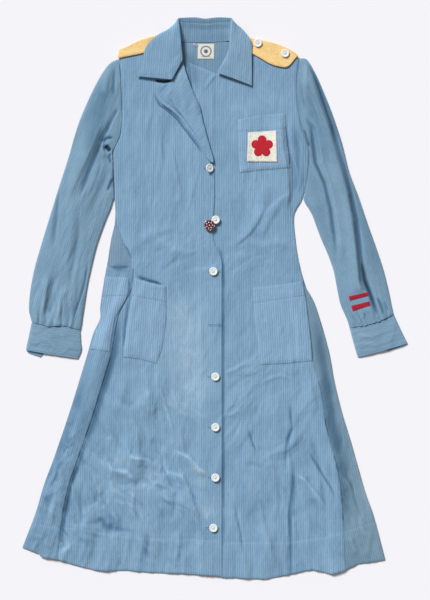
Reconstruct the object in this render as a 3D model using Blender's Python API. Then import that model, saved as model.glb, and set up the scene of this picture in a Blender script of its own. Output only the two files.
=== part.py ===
"""Long-sleeved cotton uniform dress, laid out flat on its back.

Blender script in metres, +Z up. The collar points to +Y and the wearer's right side to -X.
Every place on the cloth is given in millimetres on the table that it lies on: 'across' from the
table's left edge and 'down' from its top edge. place() turns them into metres about the origin,
which is the middle of the floor under the dress.
"""

import math

import bmesh
import bpy
import numpy as np

# Driving dimensions, in millimetres
MM = 0.001
TABLE_ACROSS = 430.0  # across of the origin
TABLE_DOWN = 597.04  # down of the origin
CLOTH = 1.2  # wall of one layer of cloth
TRIM = 0.7  # wall of labels, badges of cloth and braid
LAYER_GAP = 0.55  # air between two layers that lie on each other
SEAM_GAP = 0.3  # air between pieces at a seam
POCKET_SLACK = 0.3  # more air under pockets and lapel, which stand off the cloth below them
LAYER = CLOTH + LAYER_GAP  # rise from one layer to the next
BODY_AIR = 1.9  # how far the fronts float over the back, away from the sides
SIDE_FADE = 48.0  # width over which that air closes towards the sides
ARMHOLE_SHARE = 0.8  # share of that air that is kept at the armholes, where the sleeve stands on
LAP_RAMP = 18.0  # how far before an edge below a layer starts to climb over it
LAP_CLEAR = 4.0  # how far before that edge it has climbed
SLEEVE_MIDDLE = 1.75  # height of the fold along a sleeve's two sides
SLEEVE_HEIGHT = 5.2  # height of a flat sleeve
SLEEVE_FOLD_SHARE = 0.45  # share of a fold's height that the sleeve's wall rises by
CUFF_HEIGHT = 4.4  # height of a flat cuff
COLLAR_WALL = 1.6  # two layers of cloth sewn together
STRAP_WALL = 1.6  # shoulder strap, two layers
BUTTON_RADIUS = 8.3
BUTTON_HEIGHT = 2.6
BADGE_RADIUS = 10.4
BADGE_HEIGHT = 2.4
BADGE_PIN_RADIUS = 3.0

COLOURS = {  # red, green, blue, roughness, metallic
    "blue_cloth": (0.22, 0.39, 0.56, 0.9, 0.0),
    "blue_inside": (0.17, 0.31, 0.42, 0.9, 0.0),
    "gold_cloth": (0.86, 0.62, 0.25, 0.85, 0.0),
    "white_cloth": (0.86, 0.84, 0.77, 0.9, 0.0),
    "red_cloth": (0.66, 0.03, 0.05, 0.85, 0.0),
    "button_white": (0.88, 0.88, 0.84, 0.3, 0.0),
    "badge_metal": (0.55, 0.38, 0.18, 0.35, 1.0),
}

# Panels. Each row is a name and its points from one edge to the other, (across, down).
FRONT_RIGHT_ROWS = [  # side edge ... centre edge
    ("shoulder", (238, 117), (290, 98), (342, 80)),
    ("collar foot", (241, 142), (297, 124), (354, 105)),
    ("gorge", (242, 166), (305, 148), (364, 124)),
    ("lapel top", (243, 190), (315, 184), (385, 183)),
    ("lapel middle", (243, 240), (325, 241), (405, 243)),
    ("armhole turn", (240, 274), (328, 277), (415, 279)),
    ("armhole foot", (227, 304), (326, 308), (425, 312)),
    ("bust", (229, 374), (329, 377), (429, 380)),
    ("under bust", (232, 434), (330, 434), (427, 434)),
    ("midriff", (246, 480), (336, 480), (427, 480)),
    ("waist", (263, 520), (353, 519), (443, 519)),
    ("hip top", (256, 562), (350, 561), (444, 560)),
    ("hip", (224, 636), (334, 640), (444, 644)),
    ("pocket foot", (206, 704), (325, 712), (444, 720)),
    ("thigh", (168, 826), (306, 833), (444, 840)),
    ("knee", (120, 964), (282, 969), (444, 974)),
    ("hem", (98, 1114), (271, 1141), (444, 1153)),
]
FRONT_LEFT_ROWS = [  # centre edge ... side edge
    ("shoulder", (379, 126), (406, 137), (434, 149), (455, 112), (475, 76), (536, 96), (597, 117)),
    ("lapel low", (386, 188), (451, 183), (520, 178), (592, 175)),
    ("chest", (392, 242), (461, 241), (530, 240), (599, 240)),
    ("armhole turn", (398, 288), (504, 283), (610, 278)),
    ("armhole foot", (400, 312), (508, 310), (617, 308)),
    ("underarm", (404, 358), (509, 356), (614, 354)),
    ("side top", (405, 400), (504, 399), (604, 398)),
    ("under bust", (406, 434), (497, 432), (588, 431)),
    ("midriff", (407, 480), (499, 479), (590.5, 478)),
    ("waist", (408, 520), (502, 518), (596, 516)),
    ("hip top", (408, 562), (507, 561), (606, 561)),
    ("pocket hem", (408, 600), (510, 599), (612, 598)),
    ("hip", (408, 644), (513, 642), (618, 640)),
    ("pocket foot", (408, 722), (517, 722), (626, 722)),
    ("thigh", (407, 790), (525, 788), (643, 786)),
    ("thigh low", (407, 846), (529, 846), (651.5, 846)),
    ("knee top", (406, 896), (535, 894), (663, 892)),
    ("knee", (406, 944), (541, 943), (676, 942)),
    ("knee low", (406, 1000), (545, 1000), (684, 1000)),
    ("calf", (406, 1070), (547, 1070), (688, 1070)),
    ("hem", (406, 1152), (548, 1153), (690, 1140)),
]
GORE_RIGHT_ROWS = [  # side edge ... folded edge
    ("waist", (213, 534), (240, 535), (268, 536)),
    ("pocket hem", (203.5, 591), (233, 589), (262, 582)),
    ("hip top", (200.5, 616), (226, 613), (248, 606)),
    ("hip", (200, 638), (219, 637), (237, 634)),
    ("flare", (187, 666), (209, 665), (231, 664)),
    ("pocket foot", (176, 704), (200, 705), (224, 706)),
    ("thigh top", (164, 744), (188, 744), (213, 744)),
    ("thigh", (140, 822), (164, 824), (188, 826)),
    ("knee top", (108, 916), (132, 916), (157, 916)),
    ("knee", (88, 970), (114, 969), (139, 968)),
    ("calf", (72, 1024), (100, 1024), (127, 1024)),
    ("hem", (45, 1095), (80, 1110), (115, 1117)),
]
GORE_LEFT_ROWS = [  # hidden edge ... side edge
    ("top", (588, 568), (597, 568), (607, 568)),
    ("pocket hem", (592, 600), (609, 600), (626, 600)),
    ("hip", (598, 640), (619, 640), (640, 640)),
    ("pocket foot", (604, 704), (631, 704), (658, 705)),
    ("thigh top", (616, 760), (642, 760), (668, 760)),
    ("thigh", (629, 826), (656, 824), (683, 822)),
    ("knee top", (646, 896), (675, 892), (703, 888)),
    ("knee", (656, 942), (686, 938), (716, 934)),
    ("knee low", (662, 992), (697, 989), (731, 986)),
    ("calf", (665, 1044), (706, 1038), (747, 1032)),
    ("hem", (670, 1140), (722, 1126), (770, 1119)),
]
BACK_BODICE_ROWS = [  # wearer's right edge ... wearer's left edge
    ("shoulder", (239, 119), (340, 81.5), (362, 84), (411, 85.6), (456, 83), (476, 76), (596.6, 119)),
    ("yoke", (242, 166), (592, 166)),
    ("chest", (244, 240), (597.5, 240)),
    ("armhole turn", (241, 274), (607.5, 276)),
    ("armhole foot", (228, 304), (615.5, 306)),
    ("underarm", (229.5, 374), (610.5, 358)),
    ("side top", (230, 400), (602.5, 399)),
    ("under bust", (230, 443), (587, 432)),
    ("midriff", (222, 480), (589, 480)),
    ("waist", (214, 532), (598, 534)),
]
BACK_SKIRT_ROWS = [  # wearer's right edge ... wearer's left edge
    ("waist", (214, 534), (599, 536)),
    ("hip top", (205, 591), (621, 600)),
    ("hip", (202, 636), (636, 640)),
    ("flare", (190, 667), (645, 668)),
    ("pocket foot", (179, 704), (655, 705)),
    ("thigh", (143, 822), (679, 822)),
    ("knee", (92, 970), (723, 980)),
    ("hem", (50, 1090), (230, 1130), (411, 1147), (590, 1142), (765, 1112)),
]
LAPEL_ROWS = [  # outer edge ... roll line
    ("notch", (314, 177), (344, 162), (366, 124)),
    ("tip", (311.5, 184), (345, 171), (373.5, 150)),
    ("below tip", (315, 195), (382, 173)),
    ("shoulder of tip", (323.5, 208), (391, 194)),
    ("upper", (341.5, 221), (399.5, 213)),
    ("upper middle", (358, 236), (404.5, 236)),
    ("middle", (373, 256), (409.5, 256)),
    ("lower middle", (386, 273), (414.5, 274)),
    ("lower", (399.5, 291), (420, 294)),
    ("low", (412, 314), (426, 315)),
    ("end", (420, 324), (427, 326)),
]
CHEST_POCKET_ROWS = [  # inner edge ... outer edge
    ("mouth", (476, 240), (514, 232), (569.5, 227)),
    ("hem", (477, 262), (572, 257)),
    ("middle", (478, 304), (577.5, 303)),
    ("foot", (479.5, 346), (528, 340), (579.5, 336)),
]
HIP_POCKET_RIGHT_ROWS = [  # pleat ... inner edge
    ("mouth", (269, 557), (300, 566), (332, 573)),
    ("hem", (265, 590), (332, 602)),
    ("middle", (256, 640), (332, 642)),
    ("low", (249, 686), (325, 692)),
    ("foot", (247, 714), (282, 718), (313, 727)),
]
HIP_POCKET_SIDE_ROWS = [  # side edge ... folded edge
    ("mouth", (209.5, 553), (258, 555)),
    ("hem", (204.5, 590), (255, 590)),
    ("hip", (201.5, 636), (232, 634)),
    ("low", (190, 668), (225, 667)),
    ("foot", (181, 698), (220, 703)),
]
HIP_POCKET_LEFT_ROWS = [  # inner edge ... side edge
    ("mouth", (506, 575), (556, 570), (604, 563)),
    ("hem", (506, 604), (610, 594)),
    ("middle", (511, 650), (616.5, 644)),
    ("low", (516, 694), (622, 690)),
    ("foot", (520, 729), (572, 727), (624, 721)),
]
HEM_LINE = [  # across, down
    (45, 1095), (77, 1106), (82, 1113), (116, 1118), (157, 1131), (189, 1139), (211, 1141), (253, 1139),
    (298, 1144), (368, 1146), (438, 1151), (448, 1154), (532, 1157), (582, 1147), (624, 1138),
    (662, 1147), (686, 1141), (716, 1127), (770, 1119),
]

# Sleeves and cuffs: each row runs over the top from the outer fold to the inner fold.
SLEEVE_RIGHT_ROWS = [
    ("armhole", (237.3, 118), (240.8, 154), (242.2, 200), (242.3, 240), (237.8, 273), (223, 304),
     (226.3, 332), (228, 372), (229.1, 398)),
    ("cap", (218, 129), (226, 190), (228, 260), (222, 330), (226, 402)),
    ("cap low", (198, 158), (215, 282), (223, 412)),
    ("upper", (176, 202), (202, 312), (218.5, 424)),
    ("upper middle", (155, 254), (187, 346), (212.5, 438)),
    ("above elbow", (137, 316), (172, 387), (205, 458)),
    ("elbow", (117, 378), (157, 430), (196, 483)),
    ("below elbow", (99, 436), (144, 472), (189, 508)),
    ("forearm", (82, 492), (132, 515), (182, 538)),
    ("forearm low", (69, 538), (122, 552), (176, 566)),
    ("above wrist", (61, 580), (116, 590), (170.5, 600)),
    ("wrist", (58, 616), (112, 622), (166, 628)),
    ("gathers", (61, 634), (112, 638), (163.5, 646)),
    ("cuff seam", (64, 644), (97, 653), (128, 651), (161, 660)),
]
SLEEVE_LEFT_ROWS = [
    ("armhole", (600, 117), (595, 150), (594.5, 175), (597.5, 205), (601.8, 240), (612.8, 276), (620.2, 308),
     (617.4, 356), (606.5, 398)),
    ("cap", (614, 120), (608, 180), (612, 250), (622, 320), (608, 402)),
    ("cap low", (630, 146), (624, 280), (611, 408)),
    ("upper", (646, 182), (634, 300), (617, 417)),
    ("upper middle", (665, 230), (646, 330), (625, 432)),
    ("above elbow", (682, 282), (658, 368), (633, 454)),
    ("elbow", (697, 341), (670, 410), (643, 480)),
    ("below elbow", (716, 392), (686, 451), (656, 510)),
    ("forearm", (733, 443), (700, 492), (667, 542)),
    ("forearm low", (750, 490), (712, 531), (673, 572)),
    ("above wrist", (766, 538), (723, 572), (680, 606)),
    ("wrist", (778, 587), (734, 607), (689, 628)),
    ("gathers", (783, 612), (739, 629), (695, 642)),
    ("cuff seam", (787, 628), (760, 642), (730, 651), (698.5, 655)),
]
CUFF_RIGHT_ROWS = [
    ("seam", (63.8, 644.5), (97, 653.5), (128, 651.5), (160.7, 660.5)),
    ("upper", (58, 672), (110, 678), (162, 684)),
    ("lower", (54, 690), (108, 694), (163.4, 700)),
    ("edge", (52.4, 700.5), (92, 707), (157, 717)),
]
CUFF_LEFT_ROWS = [
    ("seam", (787.2, 628.5), (760.2, 642.5), (730.1, 651.5), (698.9, 655.5)),
    ("upper", (797, 650), (751, 667), (704.5, 677)),
    ("lower", (806, 669), (758, 685), (709.5, 695)),
    ("edge", (815, 686.5), (764, 702), (715, 714)),
]

# Collar stations from the wearer's right point round the neck to the left point. At each one:
# the neck seam, the roll, the middle of the leaf and the outer edge, as (across, down, height).
COLLAR_STATIONS = [
    ("right end", (357, 123, 6.4), (365, 122, 10.5), (344, 160.5, 11.5), (274, 153.5, 9.5)),
    ("right leaf", (354, 104, 6.4), (363, 100, 12.5), (330, 118, 12.0), (284, 124, 9.5)),
    ("right neck", (353, 92, 6.0), (361, 80, 13.5), (331, 90, 12.5), (292, 96, 10.0)),
    ("right shoulder", (354, 84, 5.0), (359.5, 60, 14.0), (340, 70, 12.5), (312, 74, 10.0)),
    ("right turn", (357, 83, 3.8), (357.5, 44, 13.5), (348, 54, 11.5), (330, 64, 8.0)),
    ("right corner", (361, 83.5, 3.2), (358.5, 39, 12.5), (350, 50, 9.0), (341.5, 61, 5.0)),
    ("right back", (372, 84, 2.5), (372, 38, 11.5), (364, 56, 6.0), (357, 70, 1.2)),
    ("back right", (393, 85, 2.5), (392, 37.5, 11.0), (391, 58, 5.2), (390, 76, 0.9)),
    ("back middle", (412, 85, 2.5), (411, 40, 10.5), (411, 58, 5.0), (411, 76, 0.9)),
    ("back left", (432, 84, 2.5), (434, 37.5, 11.0), (432, 57, 5.2), (431, 75, 0.9)),
    ("left back", (448, 83, 2.5), (453, 38, 11.5), (456, 54, 6.0), (462, 66, 1.2)),
    ("left corner", (458, 82, 3.2), (463, 40, 12.5), (471, 49, 9.0), (480, 58, 5.0)),
    ("left turn", (462, 83, 3.8), (462, 52, 13.5), (475, 60, 11.5), (492, 68, 8.0)),
    ("left neck", (464, 92, 5.2), (460, 80, 13.5), (480, 83, 12.5), (502, 84, 10.0)),
    ("left leaf", (461, 110, 6.2), (457, 104, 12.5), (480, 111, 12.0), (503, 110, 9.5)),
    ("left lower leaf", (452, 131, 6.2), (447, 126, 11.5), (477, 140, 11.0), (503.5, 144, 9.0)),
    ("left end", (441, 147, 6.2), (434.5, 147, 10.0), (464, 157, 10.5), (503, 172, 9.0)),
]

# Shoulder straps: rows along the strap, from the free end to the collar, upper edge and lower edge.
STRAP_RIGHT_ROWS = [
    ("end", (238.5, 100.5), (235.5, 117.5)),
    ("outer", (260, 90.5), (260, 112.5)),
    ("middle", (283, 80), (287, 106.5)),
    ("inner", (312, 71.5), (318, 95)),
    ("under collar", (322, 70), (330, 90)),
]
STRAP_LEFT_ROWS = [
    ("tip", (596, 112), (585, 124)),
    ("end", (590, 106), (574, 135)),
    ("outer", (572, 96), (556, 133.5)),
    ("middle", (549, 87), (539, 128)),
    ("inner", (524, 81), (521, 117.5)),
    ("near collar", (507, 78), (505, 108.5)),
    ("under collar", (494, 74), (494, 104)),
]

# Large folds: start and end (across, down), half width and height of the soft ridge (+) or trough (-).
BODY_FOLDS = [
    ("right bust", (336, 300), (346, 470), 12, 1.2),
    ("right side", (250, 210), (262, 420), 10, 1.0),
    ("right waist", (262, 470), (300, 590), 12, 1.3),
    ("right pleat", (262, 590), (249, 700), 7, -1.0),
    ("right hip", (350, 560), (400, 700), 14, 1.1),
    ("right skirt", (300, 740), (262, 980), 20, 1.6),
    ("right knee", (360, 800), (400, 960), 18, 1.3),
    ("right hem one", (180, 1010), (168, 1120), 12, 1.5),
    ("right hem two", (350, 1060), (362, 1140), 14, 1.2),
    ("left bust", (540, 360), (500, 470), 14, 1.4),
    ("left side", (574, 240), (588, 420), 9, 1.5),
    ("left waist", (470, 500), (486, 560), 14, 1.1),
    ("left crease", (588, 600), (582, 1120), 9, 1.2),
    ("left skirt", (490, 760), (500, 980), 18, 1.4),
    ("left hem one", (532, 1040), (534, 1150), 16, 1.8),
    ("left hem two", (660, 1060), (664, 1140), 14, 1.8),
    ("left hem three", (612, 1060), (606, 1130), 12, -0.8),
]
SLEEVE_FOLDS = [
    ("right cap one", (216, 140), (190, 230), 9, 1.6),
    ("right cap two", (232, 150), (214, 250), 7, 1.2),
    ("right underarm", (200, 260), (150, 440), 13, 2.2),
    ("right elbow", (160, 350), (140, 480), 14, 1.6),
    ("right forearm", (112, 480), (96, 600), 13, 1.8),
    ("right gather one", (100, 590), (96, 646), 7, 2.2),
    ("right gather two", (126, 592), (118, 646), 7, 1.8),
    ("right gather three", (78, 600), (80, 642), 6, 1.6),
    ("left cap one", (608, 128), (640, 200), 9, 1.8),
    ("left cap two", (602, 150), (620, 230), 7, 1.2),
    ("left long fold", (640, 230), (728, 560), 11, 2.6),
    ("left inner fold", (636, 300), (680, 560), 13, 1.8),
    ("left gather one", (748, 580), (762, 636), 7, 2.2),
    ("left gather two", (726, 626), (734, 644), 7, 1.8),
    ("left gather three", (768, 580), (778, 628), 6, 1.8),
]

BUTTONS = [  # name, across, down, tilt in degrees about the dress's length
    ("button_1", 419.0, 337.0, 26.0),
    ("button_2", 431.5, 440.0, 0.0),
    ("button_3", 427.0, 543.0, 0.0),
    ("button_4", 431.0, 753.0, 0.0),
    ("button_5", 431.0, 854.0, 0.0),
    ("button_6", 431.0, 954.5, 0.0),
    ("button_7", 427.0, 1055.0, 0.0),
]
BADGE_PLACE = (419.0, 451.0)
PATCH_CORNERS = [(496, 266), (552, 262), (553.5, 324), (494, 323.5)]
FLOWER_PLACE = (524.0, 293.5)
FLOWER_RADIUS = 22.0
FLOWER_PETALS = 5
LABEL_CORNERS = [(396.5, 92), (428, 92), (427.5, 118), (395.8, 118)]
SLEEVE_BARS = [
    ("sleeve_bar_upper", [(696.5, 593), (735, 584), (736.5, 591), (699, 600.5)]),
    ("sleeve_bar_lower", [(702, 611.5), (738, 602.5), (740, 610.5), (704.5, 621.5)]),
]


def place(across, down, height):
    """Table millimetres to metres about the origin."""
    return ((across - TABLE_ACROSS) * MM, (TABLE_DOWN - down) * MM, height * MM)


def smooth(t):
    t = np.clip(t, 0.0, 1.0)
    return t * t * (3.0 - 2.0 * t)


def along(points, u):
    """A point at share u along a row's evenly weighted points."""
    at = u * (len(points) - 1)
    i = min(int(at), len(points) - 2)
    first, second = np.array(points[i], float), np.array(points[i + 1], float)
    return first + (second - first) * (at - i)


def spline(knots, t):
    """Catmull-Rom curve through knots, at t from 0 to their number less one."""
    i = min(int(t), len(knots) - 2)
    f = t - i
    p1, p2 = knots[i], knots[i + 1]
    p0 = knots[i - 1] if i > 0 else 2 * p1 - p2
    p3 = knots[i + 2] if i + 2 < len(knots) else 2 * p2 - p1
    return 0.5 * (
        2 * p1 + (p2 - p0) * f + (2 * p0 - 5 * p1 + 4 * p2 - p3) * f * f + (3 * p1 - p0 - 3 * p2 + p3) * f**3
    )


def shares_of(points, columns, near, far):
    """Shares along a row: near and far are distances of fixed columns from its first and last point,
    and the other columns are spread evenly between them."""
    if not near and not far:
        return [c / (columns - 1) for c in range(columns)]
    steps = [math.dist(points[i], points[i + 1]) for i in range(len(points) - 1)]
    lengths = [sum(steps[:i]) for i in range(len(points))]
    width = lengths[-1]
    near, far = [0.0] + list(near), [0.0] + list(far)
    inner = np.linspace(near[-1], width - far[-1], columns - len(near) - len(far) + 2)[1:-1]
    at = near + list(inner) + [width - f for f in reversed(far)]
    return list(np.interp(at, lengths, np.linspace(0.0, 1.0, len(points))))


def grid_of(rows, steps, columns, near=(), far=()):
    """Points across a panel: steps rows between two table rows, and columns from edge to edge."""
    lines = [[along(row[1:], u) for u in shares_of(row[1:], columns, near, far)] for row in rows]
    count = (len(rows) - 1) * steps + 1
    across = [[line[c] for line in lines] for c in range(columns)]
    return np.array([[spline(knots, r / steps) for knots in across] for r in range(count)])


def edge_across(rows, side, down):
    """The across of a panel's first (0) or last (-1) edge at a given down."""
    ends = sorted((row[1:][side][1], row[1:][side][0]) for row in rows)
    return np.interp(down, [e[0] for e in ends], [e[1] for e in ends])


def fold_relief(folds, across, down):
    """Sum of soft ridges and troughs at a place."""
    total = np.zeros_like(np.asarray(across, float))
    for _, start, end, width, height in folds:
        dx, dy = end[0] - start[0], end[1] - start[1]
        length = math.hypot(dx, dy)
        share = ((across - start[0]) * dx + (down - start[1]) * dy) / length**2
        off = np.abs((across - start[0]) * dy - (down - start[1]) * dx) / length
        beyond = np.maximum(np.maximum(-share, share - 1.0), 0.0) * length
        total = total + height * np.exp(-((off**2 + beyond**2) / width**2))
    return total


BODY_SIDE_RIGHT = [  # down, across of the body's outline on the wearer's right
    (117, 238), (190, 243), (274, 240), (304, 227), (400, 229), (443, 230), (534, 213), (591, 203),
    (638, 200), (666, 187), (704, 176), (822, 140), (970, 88), (1095, 45),
]
BODY_SIDE_LEFT = [  # down, across of the body's outline on the wearer's left
    (117, 597), (175, 592), (240, 599), (308, 617), (354, 614), (398, 604), (431, 588), (478, 590),
    (516, 596), (567, 607), (640, 640), (705, 658), (822, 683), (934, 716), (1032, 747), (1119, 770),
]


def body_air(across, down):
    """Height of the fronts over the lowest place they could have: closed at the sides, with the folds."""
    right = np.interp(down, *zip(*BODY_SIDE_RIGHT))
    left = np.interp(down, *zip(*BODY_SIDE_LEFT))
    inside = smooth(np.minimum(across - right, left - across) / SIDE_FADE)
    inside = np.maximum(inside, ARMHOLE_SHARE * (1.0 - smooth((down - 300.0) / 90.0)))
    neck = smooth((down - 70.0) / 60.0)
    return (BODY_AIR + fold_relief(BODY_FOLDS, across, down)) * inside * neck


def climb(across, edge):
    """0 well before an edge that lies below, 1 from just before that edge on."""
    return np.clip((across - (edge - LAP_RAMP)) / (LAP_RAMP - LAP_CLEAR), 0.0, 1.0)


BASE = CLOTH + SEAM_GAP  # underside of the first layer over the back


def gore_left_under(across, down):
    return BASE + body_air(across, down)


def front_left_under(across, down):
    lap = climb(across, edge_across(GORE_LEFT_ROWS, 0, down)) * smooth((down - 540.0) / 22.0)
    return BASE + body_air(across, down) + LAYER * lap


def front_right_under(across, down):
    sooner = 14.0 * (1.0 - smooth((down - 400.0) / 100.0))  # the overlap is narrow on the bodice
    lap = climb(across, edge_across(FRONT_LEFT_ROWS, 0, down) - sooner) * smooth((down - 130.0) / 30.0)
    return BASE + body_air(across, down) + (LAYER + 0.02 * sooner) * lap


def gore_right_under(across, down):
    lap = climb(across, edge_across(FRONT_RIGHT_ROWS[9:], 0, down))
    return BASE + body_air(across, down) + LAYER * lap


def over(under, layers=1, slack=0.0):
    """The underside of a piece that lies on another, that many layers and some slack higher up."""
    return lambda across, down: under(across, down) + LAYER * layers + slack


def lapel_under(across, down):
    outer = edge_across(LAPEL_ROWS[1:], 0, down)
    lift = 2.4 * smooth((outer + 26.0 - across) / 26.0)
    return front_right_under(across, down) + LAYER + POCKET_SLACK + lift


def strap_right_under(across, down):
    free = smooth((down - (140.0 - 0.18 * across)) / 40.0)
    return front_right_under(across, down) + LAYER + 0.3 + 1.6 * free


def strap_left_under(across, down):
    free = smooth((down - (0.42 * across - 125.0)) / 34.0)
    return front_left_under(across, down) + LAYER + 0.3 + 1.6 * free


def sleeve_top(across, down):
    return SLEEVE_HEIGHT + SLEEVE_FOLD_SHARE * fold_relief(SLEEVE_FOLDS, across, down)


def material(name):
    found = bpy.data.materials.get(name)
    if found:
        return found
    red, green, blue, roughness, metallic = COLOURS[name]
    made = bpy.data.materials.new(name)
    made.use_nodes = True
    shader = made.node_tree.nodes["Principled BSDF"]
    shader.inputs["Base Color"].default_value = (red, green, blue, 1.0)
    shader.inputs["Roughness"].default_value = roughness
    shader.inputs["Metallic"].default_value = metallic
    made.diffuse_color = (red, green, blue, 1.0)
    return made


def add_object(name, points, faces, finish):
    mesh = bpy.data.meshes.new(name)
    mesh.from_pydata([tuple(p) for p in points], [], faces)
    made = bmesh.new()
    made.from_mesh(mesh)
    bmesh.ops.recalc_face_normals(made, faces=made.faces)
    made.to_mesh(mesh)
    made.free()
    mesh.shade_smooth()
    mesh.set_sharp_from_angle(angle=math.radians(50))
    mesh.materials.append(material(finish))
    made_object = bpy.data.objects.new(name, mesh)
    bpy.context.scene.collection.objects.link(made_object)
    return made_object


def wall_faces(rows, columns):
    """Faces of a closed wall whose first half of points is one side and second half the other."""
    half = rows * columns
    faces = []
    for r in range(rows - 1):
        for c in range(columns - 1):
            a = r * columns + c
            faces.append((a, a + 1, a + columns + 1, a + columns))
            faces.append((half + a, half + a + columns, half + a + columns + 1, half + a + 1))
    rim = [c for c in range(columns)]
    rim += [r * columns + columns - 1 for r in range(1, rows)]
    rim += [(rows - 1) * columns + c for c in range(columns - 2, -1, -1)]
    rim += [r * columns for r in range(rows - 2, 0, -1)]
    for i, a in enumerate(rim):
        b = rim[(i + 1) % len(rim)]
        faces.append((a, half + a, half + b, b))
    return faces


def panel(name, rows, under, finish, steps=1, columns=8, wall=CLOTH, hem=False, near=(), far=()):
    """A layer of cloth between the edges of its rows, standing on the surface 'under'."""
    grid = grid_of(rows, steps, columns, near, far)
    count = len(grid)
    if hem:
        reach = smooth((np.arange(count) - (count - 1 - 2 * steps)) / (2.0 * steps))
        target = np.interp(grid[-1, :, 0], [p[0] for p in HEM_LINE], [p[1] for p in HEM_LINE])
        grid[:, :, 1] += reach[:, None] * (target - grid[-1, :, 1])[None, :]
    flat = grid.reshape(-1, 2)
    low = under(flat[:, 0], flat[:, 1])
    points = [place(a, d, z + wall) for (a, d), z in zip(flat, low)]
    points += [place(a, d, z) for (a, d), z in zip(flat, low)]
    return add_object(name, points, wall_faces(count, columns), finish)


def flat_back(across, down):
    """The back lies on the floor."""
    return np.zeros_like(across)


def tube(name, rows, top, finish, steps=1, count=20, wall=CLOTH, flap=0.0):
    """A flattened tube of cloth: flat below, with 'top' as the height of its upper side.
    flap pushes the lower layer's outer corner out past the open end."""
    grid = grid_of(rows, steps, 41)
    rings = len(grid)
    shares = (1.0 - np.cos(2.0 * math.pi * np.arange(count) / count)) / 2.0
    upper = np.arange(count) <= count // 2
    rounding = (1.0 - np.abs(2.0 * shares - 1.0) ** 3.0) ** (1.0 / 3.0)
    sides = {}
    for side, inset in (("outer", 0.0), ("inner", wall)):
        points = []
        for r in range(rings):
            width = float(np.linalg.norm(grid[r, -1] - grid[r, 0]))
            for k in range(count):
                u = inset / width + shares[k] * (1.0 - 2.0 * inset / width)
                at = u * 40.0
                i = min(int(at), 39)
                across, down = grid[r, i] + (grid[r, i + 1] - grid[r, i]) * (at - i)
                peak = float(top(np.float64(across), np.float64(down))) - inset
                height = SLEEVE_MIDDLE + (peak - SLEEVE_MIDDLE) * rounding[k]
                if not upper[k]:
                    height = SLEEVE_MIDDLE - (SLEEVE_MIDDLE - inset) * rounding[k]
                    if flap and r == rings - 1:
                        down += flap * smooth(u / 0.06) * smooth((0.42 - u) / 0.05) * (0.3 + u)
                points.append(place(across, down, height))
        sides[side] = points
    faces = []
    half = rings * count
    for r in range(rings - 1):
        for k in range(count):
            a, b = r * count + k, r * count + (k + 1) % count
            faces.append((a, b, b + count, a + count))
            faces.append((half + a, half + a + count, half + b + count, half + b))
    for end in (0, (rings - 1) * count):
        for k in range(count):
            a, b = end + k, end + (k + 1) % count
            faces.append((a, half + a, half + b, b))
    return add_object(name, sides["outer"] + sides["inner"], faces, finish)


def collar():
    """One wall that climbs from the neck seam to the roll and comes down as the leaf."""
    steps = 2
    knots = []
    for _, seam, roll, leaf, edge in COLLAR_STATIONS:
        seam, roll, leaf, edge = (np.array(p, float) for p in (seam, roll, leaf, edge))
        rise = seam + (roll - seam) * 0.7 + np.array([0.0, 0.0, -0.6])
        crown = roll + np.array([0.0, 0.0, 0.5])
        shoulder = roll + (leaf - roll) * 0.28 + np.array([0.0, 0.0, 0.9])
        knots.append([seam, rise, crown, shoulder, leaf, edge])
    count = (len(knots) - 1) * steps + 1
    lines = [[spline([k[j] for k in knots], r / steps) for j in range(6)] for r in range(count)]
    stops = [0.0, 0.6, 1.2, 1.6, 2.0, 2.4, 2.8, 3.4, 4.2, 5.0]
    grid = np.array([[spline(line, t) for t in stops] for line in lines])
    columns = len(stops)
    by_row = np.gradient(grid, axis=0)
    by_column = np.gradient(grid, axis=1)
    normal = np.cross(by_row, by_column)
    normal /= np.linalg.norm(normal, axis=2)[:, :, None]
    half = COLLAR_WALL / 2.0
    sides = [(grid + normal * half).reshape(-1, 3), (grid - normal * half).reshape(-1, 3)]
    points = [place(a, d, max(z, 0.0)) for side in sides for a, d, z in side]
    return add_object("collar", points, wall_faces(count, columns), "blue_cloth")


def slab(name, corners, under, wall, finish, cells=4):
    """A small four-cornered piece of cloth that follows the surface below it."""
    rows = [("near", corners[0], corners[1]), ("far", corners[3], corners[2])]
    return panel(name, rows, under, finish, steps=cells, columns=cells + 1, wall=wall)


def turned(name, profile, centre, finish, sides=14, tilt=0.0):
    """A closed turned piece: profile is (radius, height) from its lower to its upper middle."""
    lean = math.radians(tilt)
    points = []
    for radius, height in profile[1:-1]:
        for k in range(sides):
            turn = 2.0 * math.pi * k / sides
            x, y = radius * math.cos(turn), radius * math.sin(turn)
            points.append((x, y, height))
    points = [(0.0, 0.0, profile[0][1])] + points + [(0.0, 0.0, profile[-1][1])]
    faces = []
    rings = len(profile) - 2
    for k in range(sides):
        nxt = (k + 1) % sides
        faces.append((0, 1 + nxt, 1 + k))
        for r in range(rings - 1):
            a, b = 1 + r * sides + k, 1 + r * sides + nxt
            faces.append((a, b, b + sides, a + sides))
        last = 1 + (rings - 1) * sides
        faces.append((last + k, last + nxt, len(points) - 1))
    across, down, height = centre
    placed = []
    for x, y, z in points:
        tilted = (x * math.cos(lean) + z * math.sin(lean), y, z * math.cos(lean) - x * math.sin(lean))
        placed.append(place(across + tilted[0], down - tilted[1], height + tilted[2]))
    return add_object(name, placed, faces, finish)


def highest_under(under, across, down, radius):
    """Height that clears the cloth everywhere under a disc."""
    turns = np.linspace(0.0, 2.0 * math.pi, 13)
    spots = [(across, down)] + [(across + radius * math.cos(t), down + radius * math.sin(t)) for t in turns]
    return max(float(under(np.float64(a), np.float64(d))) for a, d in spots)


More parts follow.
